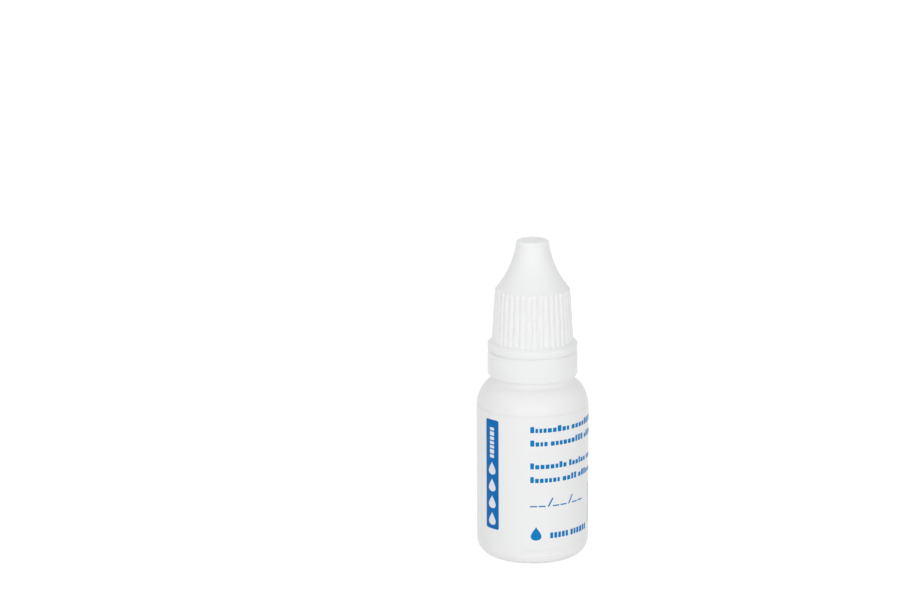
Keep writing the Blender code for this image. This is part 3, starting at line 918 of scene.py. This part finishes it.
# %% Cap sizes
CAP_FOOT_EDGE = EDGE_ROUND / 6
BEAD_CUT_DEPTH = 0.035 * MM
BEAD_CUT_HEIGHT = 0.15 * MM
BEAD_BELLY_HEIGHT = 0.5 * MM
BEAD_SHOULDER_HEIGHT = 1.6 * MM
BEAD_ROUND = 0.3 * MM
BEAD_RISE_SHARE = 0.7
BEAD_FILLET = 0.15 * MM
RIB_DEPTH = 0.32 * MM
GRIP_WALL = 0.59 * MM
GRIP_TAPER = 0.74 * MM
GRIP_OVER_FLANGE = 2.6 * MM
RIB_ROUND = 0.4 * MM
CONE_INSET = 0.2 * MM
SPIRE_SAG = 0.75 * MM
SPIRE_WALL = 1.2 * MM
RIM_DROP = 0.9 * MM
TIP_GAP = 0.5 * MM
TIP_ROOM = 0.85 * MM
RIM_ROUND = 0.75 * MM
RIM_WIDTH = 1.1 * MM
RECESS_DEPTH = 0.2 * MM
RECESS_ROUND = 0.1 * MM
GATE_RADIUS = 0.9 * MM
GATE_HEIGHT = 0.14 * MM
SKIRT_INSET = 0.4 * MM
SKIRT_DEPTH = 1.2 * MM
SKIRT_SLOPE = 0.6 * MM
THREAD_GAP = 0.3 * MM
PIN_ROOT_RADIUS = 1.0 * MM
PIN_TIP_RADIUS = 0.45 * MM
PIN_GAP = 0.2 * MM
PIN_ROUND = 0.15 * MM
CAP_SPACING = 0.45 * MM
INSIDE_STEPS = 3
GRIP_WALL_ROWS = 4
GRIP_TOP_ROWS = 7
SPIRE_STEPS = 28
INNER_SPIRE_STEPS = 12
RIM_STEPS = 10

cap_bore = NECK_RADIUS + THREAD_DEPTH + THREAD_GAP
groove_top_radius = cap_bore + GRIP_WALL
groove_foot_radius = groove_top_radius + GRIP_TAPER
cone_foot_radius = groove_top_radius + RIB_DEPTH - CONE_INSET
spire_tip_radius = NOZZLE_TIP_RADIUS + TIP_GAP + SPIRE_WALL
grip_top = flange_top + GRIP_OVER_FLANGE
ceiling = nozzle_top + TIP_ROOM
print("grip top, mm:", round(grip_top / MM, 2), " ceiling, mm:", round(ceiling / MM, 2))


# %% Spire and grip
def spire(foot_radius, foot, tip_radius, tip, steps):
    """A chord from foot to tip that sags inwards, square to itself, by 4 sag s (1 - s)."""
    share = np.linspace(0, 1, steps + 1)[:, None]
    start, end = np.array([foot_radius, foot]), np.array([tip_radius, tip])
    chord = unit(end - start)
    inwards = np.array([-chord[1], chord[0]])
    return start + (end - start) * share + inwards * SPIRE_SAG * 4 * share * (1 - share)


def grip_side(rise):
    """The outside from the foot to the top of the grip: bead, wall and shoulder.

    The bead's front is upright, cut back by a hair at its foot, and its sloped top rises inwards by
    a share of its width. Rise is 0 for the groove's outline and 1 for the crest's. Both have the
    same number of points.
    """
    reach_out = RIB_DEPTH * rise
    wall_foot_radius = groove_foot_radius + reach_out
    wall_top_radius = groove_top_radius + reach_out
    cut_radius = bead_radius - BEAD_CUT_DEPTH
    shoulder_height = cap_foot + BEAD_SHOULDER_HEIGHT
    wall_foot = shoulder_height + BEAD_RISE_SHARE * (bead_radius - wall_foot_radius)
    bead = rounded([
        (cut_radius - 2 * EDGE_ROUND, cap_foot),
        (cut_radius, cap_foot, CAP_FOOT_EDGE),
        (cut_radius, cap_foot + BEAD_CUT_HEIGHT, BEAD_ROUND),
        (bead_radius, cap_foot + BEAD_BELLY_HEIGHT, BEAD_ROUND),
        (bead_radius, shoulder_height, BEAD_ROUND),
        (wall_foot_radius, wall_foot, BEAD_FILLET),
        (wall_top_radius, grip_top - RIB_ROUND),
    ])
    wall = np.linspace(bead[-2], bead[-1], GRIP_WALL_ROWS)
    turn = np.linspace(0, np.pi / 2, GRIP_TOP_ROWS)[:, None]
    swing_in = np.hstack([
        cone_foot_radius + (wall_top_radius - cone_foot_radius) * np.cos(turn),
        grip_top - RIB_ROUND * (1 - np.sin(turn)),
    ])
    return np.vstack([bead[:-1], wall[1:], swing_in[1:]])


print("grip outline:", len(grip_side(0)), "points")


# %% Inside and crown
def cap_inside():
    """The inside from the pin's tip out and down to the foot."""
    mouth_slope = MOUTH_DEPTH / (MOUTH_RADIUS - ORIFICE_RADIUS)
    pin_tip = nozzle_top - MOUTH_DEPTH + (PIN_TIP_RADIUS + PIN_GAP - ORIFICE_RADIUS) * mouth_slope
    inner_foot = cone_foot_radius - SPIRE_WALL
    inner_tip = spire_tip_radius - SPIRE_WALL
    inner_spire = spire(inner_foot, grip_top, inner_tip, ceiling, INNER_SPIRE_STEPS)[::-1]
    skirt_radius = ring_bore - SKIRT_INSET
    return outline(
        CAP_SPACING,
        rounded([
            (0, pin_tip),
            (PIN_TIP_RADIUS, pin_tip, PIN_ROUND),
            (PIN_ROOT_RADIUS, ceiling, PIN_ROUND),
            inner_spire[0],
        ], INSIDE_STEPS),
        inner_spire[1:],
        rounded([
            inner_spire[-1],
            (cap_bore, flange_top + SEAT_GAP, EDGE_ROUND),
            (cap_bore, cap_foot + SKIRT_DEPTH + SKIRT_SLOPE, EDGE_ROUND),
            (skirt_radius, cap_foot + SKIRT_DEPTH, EDGE_ROUND),
            (skirt_radius, cap_foot, EDGE_ROUND),
            (skirt_radius + 2 * EDGE_ROUND, cap_foot),
        ], INSIDE_STEPS),
    )


def cap_crown():
    """From the grip's top up the spire, over the rim and into the recess with its gate mark."""
    recess_radius = spire_tip_radius - RIM_WIDTH
    recess_floor = cap_top - RECESS_DEPTH
    spire_top = cap_top - RIM_DROP
    side = spire(cone_foot_radius, grip_top, spire_tip_radius, spire_top, SPIRE_STEPS)
    rim_middle = (spire_tip_radius - RIM_ROUND, cap_top - RIM_ROUND)
    rim = arc(rim_middle, RIM_ROUND, 0, 90, RIM_STEPS)
    dish = rounded([
        rim[-1],
        (recess_radius, cap_top, RECESS_ROUND),
        (recess_radius - RECESS_ROUND, recess_floor, RECESS_ROUND),
        (GATE_RADIUS + GATE_HEIGHT, recess_floor, GATE_HEIGHT / 2),
        (GATE_RADIUS, recess_floor + GATE_HEIGHT, GATE_HEIGHT / 2),
        (0, recess_floor + GATE_HEIGHT),
    ])
    return outline(CAP_SPACING, side[1:], rim[1:], dish[1:])


print("outline points: inside", len(cap_inside()), " crown", len(cap_crown()))

# %% Cap surface
RIB_COUNT = 38
RIB_CREST_SHARE = 0.16
RIB_FLOOR_SHARE = 0.45
RIB_TURN_SHARE = 0.35
HALF_RIB_SHARES = np.array([0.0, 0.16, 0.24, 0.31, 0.38, 0.45])


def cap_grid():
    """Mixes the groove's outline and the crest's round the axis, and pushes the bore's thread in.

    With w the distance from the nearest crest's middle, in rib widths, the mix is 1 below the crest
    share, 0 above the floor share and eased between them.
    """
    inside, crown = cap_inside(), cap_crown()
    groove = np.vstack([inside, grip_side(0), crown])
    crest = np.vstack([inside, grip_side(1), crown])
    one_rib = np.concatenate([HALF_RIB_SHARES, [0.5], 1 - HALF_RIB_SHARES[:0:-1]])
    ribs = np.append((np.arange(RIB_COUNT)[:, None] + one_rib).ravel(), RIB_COUNT)[None, :]
    angle = FRONT + FULL_TURN * (ribs + RIB_TURN_SHARE) / RIB_COUNT
    off_crest = np.abs(np.mod(ribs + 0.5, 1) - 0.5)
    rise = ease((RIB_FLOOR_SHARE - off_crest) / (RIB_FLOOR_SHARE - RIB_CREST_SHARE))
    share = rise[..., None]
    mixed = groove[:, None] * (1 - share) + crest[:, None] * share
    radius, height = mixed[..., 0], mixed[..., 1]
    start = CAP_THREAD_START_SHARE
    thread_foot = THREAD_FOOT + THREAD_PITCH * (start - 1 / 2)
    pushed = thread_rise(height, angle, thread_foot, CAP_THREAD_TURNS, start)
    bore = (np.arange(len(groove)) < len(inside))[:, None] * (radius > cap_bore - TINY)
    return cylinder(radius - THREAD_DEPTH * pushed * bore, height, angle)


piece("spire_cap", [cap_grid()], cap_white, "cap", "screw_cap")

# %% [markdown]
# ## The label
#
# The label is a thin plastic film, wrapped once round with its two ends a hair apart at the back.
# It could be a change of colour on the body, but then its edges would lie flat. So it is a sheet
# of its own on a cylinder, with Solidify for its thickness, and both of its edges catch a line of
# light and shade on the side of the bottle. The film is smoother than the body, with long faint
# ripples.

# %% Film finish
FILM_TINT = 0.01
CLOUD_IN_FILM = 0.7
GRAIN_IN_FILM = 0.3
CLOUD_IN_FILM_GLOSS = 0.1
GRAIN_IN_FILM_GLOSS = 0.05
GRAIN_IN_RIPPLES = 0.04
RIPPLE_STRETCH = (1, 1, 0.25)
RIPPLE_SCALE = 160
RIPPLE_DEPTH = 12 * MICRON
RIPPLE_STRENGTH = 0.6


def film_finish(name, colour, roughness):
    """Printed film: nearly even colour, long upright ripples and a fine grain in its gloss."""
    material, board = finish_board(name)
    place = board.place()
    clouds = board.noise(place, CLOUD_SCALE)
    ripples = board.noise(board.stretched(place, RIPPLE_STRETCH), RIPPLE_SCALE, detail=1.0)
    grain = board.noise(place, SPECK_SCALE, detail=1.0)
    share = clouds * CLOUD_IN_FILM + grain * GRAIN_IN_FILM
    paint = board.blend(share, tint(colour, 1 - FILM_TINT), tint(colour, 1 + FILM_TINT))
    gloss = roughness + (clouds - NOISE_MIDDLE) * CLOUD_IN_FILM_GLOSS
    gloss += (grain - NOISE_MIDDLE) * GRAIN_IN_FILM_GLOSS
    normal = board.bump(RIPPLE_STRENGTH, RIPPLE_DEPTH, ripples + grain * GRAIN_IN_RIPPLES)
    board.shade(paint, gloss, normal, PLASTIC_IOR)
    return material


film_white = film_finish("film_white", (0.892, 0.895, 0.895), roughness=0.34)
print("film made:", film_white.name)

# %% Film
FILM_GAP = 0.01 * MM
FILM_THICKNESS = 0.05 * MM
FILM_SEAM = 0.4 * MM
FILM_SEAM_ANGLE = np.radians(112.5)
FILM_COLUMNS = 288
FILM_ROWS = 24

film_radius = body_radius + FILM_GAP
half_gap = FILM_SEAM / 2 / film_radius
film_angle = FILM_SEAM_ANGLE + np.linspace(half_gap, FULL_TURN - half_gap, FILM_COLUMNS)
film_height = np.linspace(film_foot, film_top, FILM_ROWS)
outer_line = body_line[: np.argmax(body_line[:, 1])]
outer_line = outer_line[outer_line[:, 1] > BASE_CORNER / 2]
body_side = np.interp(film_height, outer_line[:, 1], outer_line[:, 0])
film_grid = cylinder((body_side + FILM_GAP)[:, None], film_height[:, None], film_angle[None, :])
piece("film_label", [film_grid], film_white, "bottle", "label", FILM_THICKNESS)

# %% [markdown]
# ## The print
#
# Ink on a film is a raised skin a few microns thick. Painting it in the material would blur it,
# so each mark is its own small sheet on the film, with crisp edges at any distance. The print
# says nothing: words are rows of plain blocks, and the panel at the left holds only drops and
# bars. The blank field for a date has its usual look, two short rules for each number with
# slashes between them.
#
# A block's sheet is a grid whose half height follows a quarter circle at each corner. A drop's
# half width, from its tip at t = 0 to its round foot at t = 1, is sin(pi t) sin(pi t / 2) to a
# power.

# %% Marks
INK_GAP = 3 * MICRON
INK_THICKNESS = 10 * MICRON
SECOND_INK_LIFT = 12 * MICRON
INK_STEP = 0.35 * MM
BLOCK_CORNER_POINTS = 4
DROP_POWER = 1.6
DROP_ROWS = 25
DROP_COLUMNS = 9
ink_radius = film_radius + FILM_THICKNESS + INK_GAP


def block(left, middle, length, height, corner, slant=0.0):
    """A flat bar with round corners: half its height, less corner (1 - sin) near each end.

    Slant moves each point along by that share of its height above the middle.
    """
    turn = np.linspace(0, np.pi / 2, BLOCK_CORNER_POINTS)
    inset = corner * (1 - np.cos(turn))
    lost = corner * (1 - np.sin(turn))
    steps = max(2, int(np.ceil((length - 2 * corner) / INK_STEP)) + 1)
    straight = np.linspace(corner, length - corner, steps)
    across = np.concatenate([inset, straight[1:-1], length - inset[::-1]])
    half_height = height / 2 - np.concatenate([lost, np.zeros(steps - 2), lost[::-1]])
    rows = max(3, int(np.ceil(height / INK_STEP)) + 1)
    upwards = np.linspace(-1, 1, rows)[:, None] * half_height
    return np.stack([left + across + slant * upwards, middle + upwards], axis=-1)


def drop(centre, foot, width, height):
    """A drop: half width sin(pi t) sin(pi t / 2) to a power, t from 1 at its foot to 0 on top."""
    tip_share = np.linspace(1, 0, DROP_ROWS)[:, None]
    swell = np.sin(np.pi * tip_share) * np.sin(np.pi * tip_share / 2) ** DROP_POWER
    half_width = width / 2 * swell / swell.max()
    upwards = foot + height * (1 + np.cos(np.pi * tip_share)) / 2
    share = np.linspace(-1, 1, DROP_COLUMNS)[None, :]
    return np.stack(np.broadcast_arrays(centre + share * half_width, upwards), axis=-1)


def on_film(flat, lift):
    """Wraps a flat mark round the film: distance along the wrap over the radius is the angle."""
    return cylinder(ink_radius + lift, flat[..., 1], FRONT + flat[..., 0] / ink_radius)


print("a 6 mm block has", block(0, 0, 6 * MM, 1 * MM, 0.2 * MM).shape, "points")

# %% [markdown]
# ## Lines of words
#
# The text at the right has four lines, a date field, and a last line beside a small drop. Each
# letter becomes a block of its own, as narrow or as wide and tall as letters are, so a line keeps
# the rhythm of type but can't be read. Word lengths and block sizes come from a seeded draw, and
# the lines run round the side as real ones do.

# %% Words
TEXT_LEFT = -0.5 * MM
LINE_HEIGHTS = (31.66 * MM, 28.56 * MM, 23.32 * MM, 20.15 * MM)
LINE_RIGHTS = (21 * MM, 17 * MM, 19 * MM, 12.5 * MM)
LETTER_WIDTHS = (0.6 * MM, 0.95 * MM)
LETTER_HEIGHT = 1.0 * MM
TALL_RISE = 0.42 * MM
TALL_SHARE = 0.28
LETTER_GAP = 0.26 * MM
LETTER_CORNER = 0.16 * MM
WORD_GAP = 0.75 * MM
WORD_LETTERS = (3, 10)
WORD_SEED = 15
CAPITAL_HEIGHT = 1.35 * MM
LAST_LINE_HEIGHT = 7.3 * MM
LAST_LINE_LEFT = 4.0 * MM
LAST_LINE_RIGHT = 15.5 * MM

rng = np.random.default_rng(WORD_SEED)


def words(left, right, middle, letter_height, tall_share):
    """Blocks for a line of words, set one after another up to the right end.

    Each block's width is drawn between two limits. A share of them, and each line's first, stand
    taller.
    """
    marks, start = [], left
    while start < right:
        for _ in range(rng.integers(*WORD_LETTERS)):
            width = rng.uniform(*LETTER_WIDTHS)
            tall = rng.uniform() < tall_share or (start == left and tall_share > 0)
            height = letter_height + TALL_RISE * tall
            centre = middle + TALL_RISE * tall / 2
            marks.append(block(start, centre, width, height, LETTER_CORNER))
            start += width + LETTER_GAP
        start += WORD_GAP - LETTER_GAP
    return marks


text_marks = []
for height, right in zip(LINE_HEIGHTS, LINE_RIGHTS):
    text_marks += words(TEXT_LEFT, right, height, LETTER_HEIGHT, TALL_SHARE)
text_marks += words(LAST_LINE_LEFT, LAST_LINE_RIGHT, LAST_LINE_HEIGHT, CAPITAL_HEIGHT, 0)
print("letter blocks:", len(text_marks))

# %% Date field, drop and rule
DATE_LEFT = -0.55 * MM
DATE_MIDDLE = 14.2 * MM
DATE_RULE = 1.6 * MM
DATE_GAP = 0.3 * MM
DATE_PITCH = 5.15 * MM
DATE_NUMBERS = 3
DATE_PLACES = 2
STROKE = 0.29 * MM
STROKE_CORNER = 0.3 * STROKE
SLASH_STROKE = 0.38 * MM
SLASH_LEFT = 4.45 * MM
SLASH_HEIGHT = 1.95 * MM
SLASH_SLANT = 0.55
DROP_MIDDLE = 0.8 * MM
DROP_FOOT = 6.3 * MM
DROP_WIDTH = 2.4 * MM
DROP_HEIGHT = 3.2 * MM
SIDE_RULE_LEFT = 17.0 * MM
SIDE_RULE_MIDDLE = 12.2 * MM
SIDE_RULE_HEIGHT = 9.6 * MM

rule_starts = [
    DATE_LEFT + DATE_PITCH * number + (DATE_RULE + DATE_GAP) * place
    for number in range(DATE_NUMBERS)
    for place in range(DATE_PLACES)
]
slash_starts = [
    DATE_LEFT + SLASH_LEFT + DATE_PITCH * number for number in range(DATE_NUMBERS - 1)
]
slash_middle = DATE_MIDDLE + (SLASH_HEIGHT - STROKE) / 2
field_marks = [
    block(start, DATE_MIDDLE, DATE_RULE, STROKE, STROKE_CORNER) for start in rule_starts
] + [
    block(start, slash_middle, SLASH_STROKE, SLASH_HEIGHT, STROKE_CORNER, SLASH_SLANT)
    for start in slash_starts
] + [
    drop(DROP_MIDDLE, DROP_FOOT, DROP_WIDTH, DROP_HEIGHT),
    block(SIDE_RULE_LEFT, SIDE_RULE_MIDDLE, STROKE, SIDE_RULE_HEIGHT, STROKE_CORNER),
]
print("field marks:", len(field_marks))

# %% [markdown]
# ## The side panel
#
# A solid panel runs up the left side. Its pale marks could be holes in it, but a sheet with holes
# needs a far finer grid, and a press would print them as holes or as a second ink alike. So they
# are a second sheet, a few microns further out: a column of drops, with one upright row of small
# blocks over it.

# %% Panel
PANEL_LEFT = -11.95 * MM
PANEL_WIDTH = 3.9 * MM
PANEL_FOOT = 7.9 * MM
PANEL_TOP = 33.2 * MM
PANEL_CORNER = 0.45 * MM
PANEL_DROPS = 4
PANEL_DROP_WIDTH = 2.1 * MM
PANEL_DROP_HEIGHT = 3.0 * MM
PANEL_DROP_PITCH = 3.9 * MM
PANEL_MARGIN = 0.9 * MM
PANEL_ROW_WIDTH = 1.3 * MM
PANEL_ROW_FOOT = 24.4 * MM
PANEL_ROW_TOP = 32.4 * MM

panel_height = PANEL_TOP - PANEL_FOOT
panel_middle = PANEL_LEFT + PANEL_WIDTH / 2
panel_mark = block(
    PANEL_LEFT, (PANEL_FOOT + PANEL_TOP) / 2, PANEL_WIDTH, panel_height, PANEL_CORNER
)
drop_feet = [PANEL_FOOT + PANEL_MARGIN + PANEL_DROP_PITCH * number for number in range(PANEL_DROPS)]
pale_marks = [drop(panel_middle, foot, PANEL_DROP_WIDTH, PANEL_DROP_HEIGHT) for foot in drop_feet]
row_left = panel_middle - PANEL_ROW_WIDTH / 2
block_foot = PANEL_ROW_FOOT
while block_foot < PANEL_ROW_TOP - LETTER_WIDTHS[1]:
    length = rng.uniform(*LETTER_WIDTHS)
    block_middle = block_foot + length / 2
    pale_marks.append(block(row_left, block_middle, PANEL_ROW_WIDTH, length, LETTER_CORNER))
    block_foot += length + LETTER_GAP
print("pale marks on the panel:", len(pale_marks))

# %% [markdown]
# ## The inks
#
# The words are printed in one strong blue, the panel in a deeper one, and the marks on the panel
# in a pale ink. Plain colours would do from afar. Ink really lies unevenly where the plate
# pressed, so its colour and gloss get a faint mottle. Its index of refraction is low, so that the
# lamp in front adds little white to the blues.

# %% Ink
INK_IOR = 1.2
INK_ROUGHNESS = 0.4
INK_TINT = 0.06
MOTTLE_IN_GLOSS = 0.15
INK_BUMP = 0.3


def ink_finish(name, colour):
    """Printing ink: one strong colour with a faint mottle, and a satin gloss."""
    material, board = finish_board(name)
    mottle = board.noise(board.place(), PEEL_SCALE)
    paint = board.blend(mottle, tint(colour, 1 - INK_TINT), tint(colour, 1 + INK_TINT))
    gloss = INK_ROUGHNESS + (mottle - NOISE_MIDDLE) * MOTTLE_IN_GLOSS
    board.shade(paint, gloss, board.bump(INK_BUMP, PEEL_DEPTH, mottle), INK_IOR)
    return material


deep_blue_ink = ink_finish("deep_blue_ink", (0.001, 0.15, 0.47))
light_blue_ink = ink_finish("light_blue_ink", (0.001, 0.213, 0.54))
pale_ink = ink_finish("pale_ink", (0.8, 0.82, 0.84))
prints = {
    "print_words": (text_marks + field_marks, light_blue_ink, 0),
    "print_panel": ([panel_mark], deep_blue_ink, 0),
    "print_panel_marks": (pale_marks, pale_ink, SECOND_INK_LIFT),
}
for name, (marks, ink, lift) in prints.items():
    grids = [on_film(mark, lift) for mark in marks]
    piece(name, grids, ink, "bottle", thickness=INK_THICKNESS)

# %% [markdown]
# ## Floor and light
#
# The photograph is lit softly from the front, at about the camera's own height, by a wide source.
# One large soft box does that, and it fills the slit under the cap in front but not at the sides.
# Two weak tall strips leave soft streaks down the spire, and two small boxes high at the sides
# lighten its flanks. The rest is even light from all round, a little stronger from behind. A sky
# picture could give all of this at once, but lamps can be tried one by one.
#
# The white ground is white paper: only the camera, mirror and glass rays see it as pure white, so
# it adds no light to the bottle and keeps a faint shadow.

# %% Paper
FLOOR_RADIUS = 4.0
FLOOR_RINGS = 9
FLOOR_COLUMNS = 64
FLOOR_COLOUR = (0.95, 0.95, 0.95, 1)
WHITE = (1, 1, 1, 1)
PAPER_SHARE = 0.9
PAPER_GLOW = 1.12


def seen_directly(board):
    """1 for rays from the camera, a mirror or glass, and 0 for the rest."""
    kinds = ("Is Camera Ray", "Is Glossy Ray", "Is Transmission Ray")
    from_camera, from_mirror, from_glass = [board.node("LightPath", {}, {}, kind) for kind in kinds]
    return (from_camera + from_mirror + from_glass).above(0.0, 1.0)


def make_floor():
    """A wide round sheet of paper at the height of the foot: rings of points round the axis."""
    material, board = finish_board("paper")
    diffuse = board.node("BsdfDiffuse", {}, {"Color": FLOOR_COLOUR})
    glow = board.node("Emission", {}, {"Color": WHITE, "Strength": PAPER_GLOW})
    share = seen_directly(board) * PAPER_SHARE
    mixed = board.node("MixShader", {}, {0: share, 1: diffuse, 2: glow})
    board.node("OutputMaterial", {}, {"Surface": mixed})
    radius = np.linspace(FLOOR_RADIUS, 0, FLOOR_RINGS)[:, None]
    grid = cylinder(radius, 0, around(FLOOR_COLUMNS)[None, :])
    mesh = bpy.data.meshes.new("paper_floor")
    mesh.from_pydata(grid.reshape(-1, 3), [], quads(*grid.shape[:2]))
    mesh.materials.append(material)
    floor = bpy.data.objects.new("paper_floor", mesh)
    bpy.context.collection.objects.link(floor)
    floor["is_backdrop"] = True
    return floor


print("stage:", make_floor().name)

# %% Room
AMBIENT = 0.46
BEHIND = 0.38


def make_world():
    """Even light from all round, which the camera, mirrors and glass see as white."""
    world = bpy.data.worlds.new("soft_room")
    bpy.context.scene.world = world
    world.use_nodes = True
    board = Board(world.node_tree)
    direction = board.node("TexCoord", {}, {}, "Generated")
    away = board.node("SeparateXYZ", {}, {"Vector": direction}, "Y")
    room = AMBIENT + away.largest(0) * BEHIND
    direct = seen_directly(board)
    strength = direct + (1 - direct) * room
    glow = board.node("Background", {}, {"Color": WHITE, "Strength": strength})
    board.node("OutputWorld", {}, {"Surface": glow})
    return world


print("world:", make_world().name)

# %% Lamps
LAMPS = (
    # name, degrees to the right and up, metres away, width and height in metres, watts
    ("broad_front", 2, 8, 1.2, 1.8, 1.0, 9.1),
    ("strip_left", -30, 15, 0.7, 0.1, 0.37, 0.08),
    ("strip_right", 29, 15, 0.7, 0.1, 0.37, 0.11),
    ("high_left", -72, 50, 0.3, 0.2, 0.2, 0.1),
    ("high_right", 72, 50, 0.3, 0.2, 0.2, 0.07),
)


def make_soft_box(name, azimuth, elevation, away, width, height, power):
    """A rectangular lamp that is aimed at the middle of the bottle."""
    lamp = bpy.data.lights.new(name, "AREA")
    lamp.shape = "RECTANGLE"
    lamp.size = width
    lamp.size_y = height
    lamp.energy = power
    turn, rise = np.radians(azimuth), np.radians(elevation)
    level = np.array([np.sin(turn), -np.cos(turn)]) * np.cos(rise)
    outwards = np.array([*level, np.sin(rise)])
    right = unit(np.cross([0, 0, 1], outwards))
    upwards = np.cross(outwards, right)
    axes = np.stack([right, upwards, outwards], axis=1)
    box = bpy.data.objects.new(name, lamp)
    bpy.context.collection.objects.link(box)
    place = np.array([0, 0, AIM_HEIGHT]) + outwards * away
    box.matrix_world = Matrix.Translation(place) @ Matrix(axes.tolist()).to_4x4()


for lamp in LAMPS:
    make_soft_box(*lamp)
bpy.context.scene.view_settings.view_transform = "Standard"
print("lamps:", ", ".join(lamp[0] for lamp in LAMPS))

# %% [markdown]
# ## Sizes, and the end
#
# The box that the dressed bottle fills is measured and printed, in millimetres.

# %% Measure the dressed box
dressed_low, dressed_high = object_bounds()
dressed_size = [round((high - low) / MM, 2) for low, high in zip(dressed_low, dressed_high)]
print("dressed box, mm:", dressed_size)
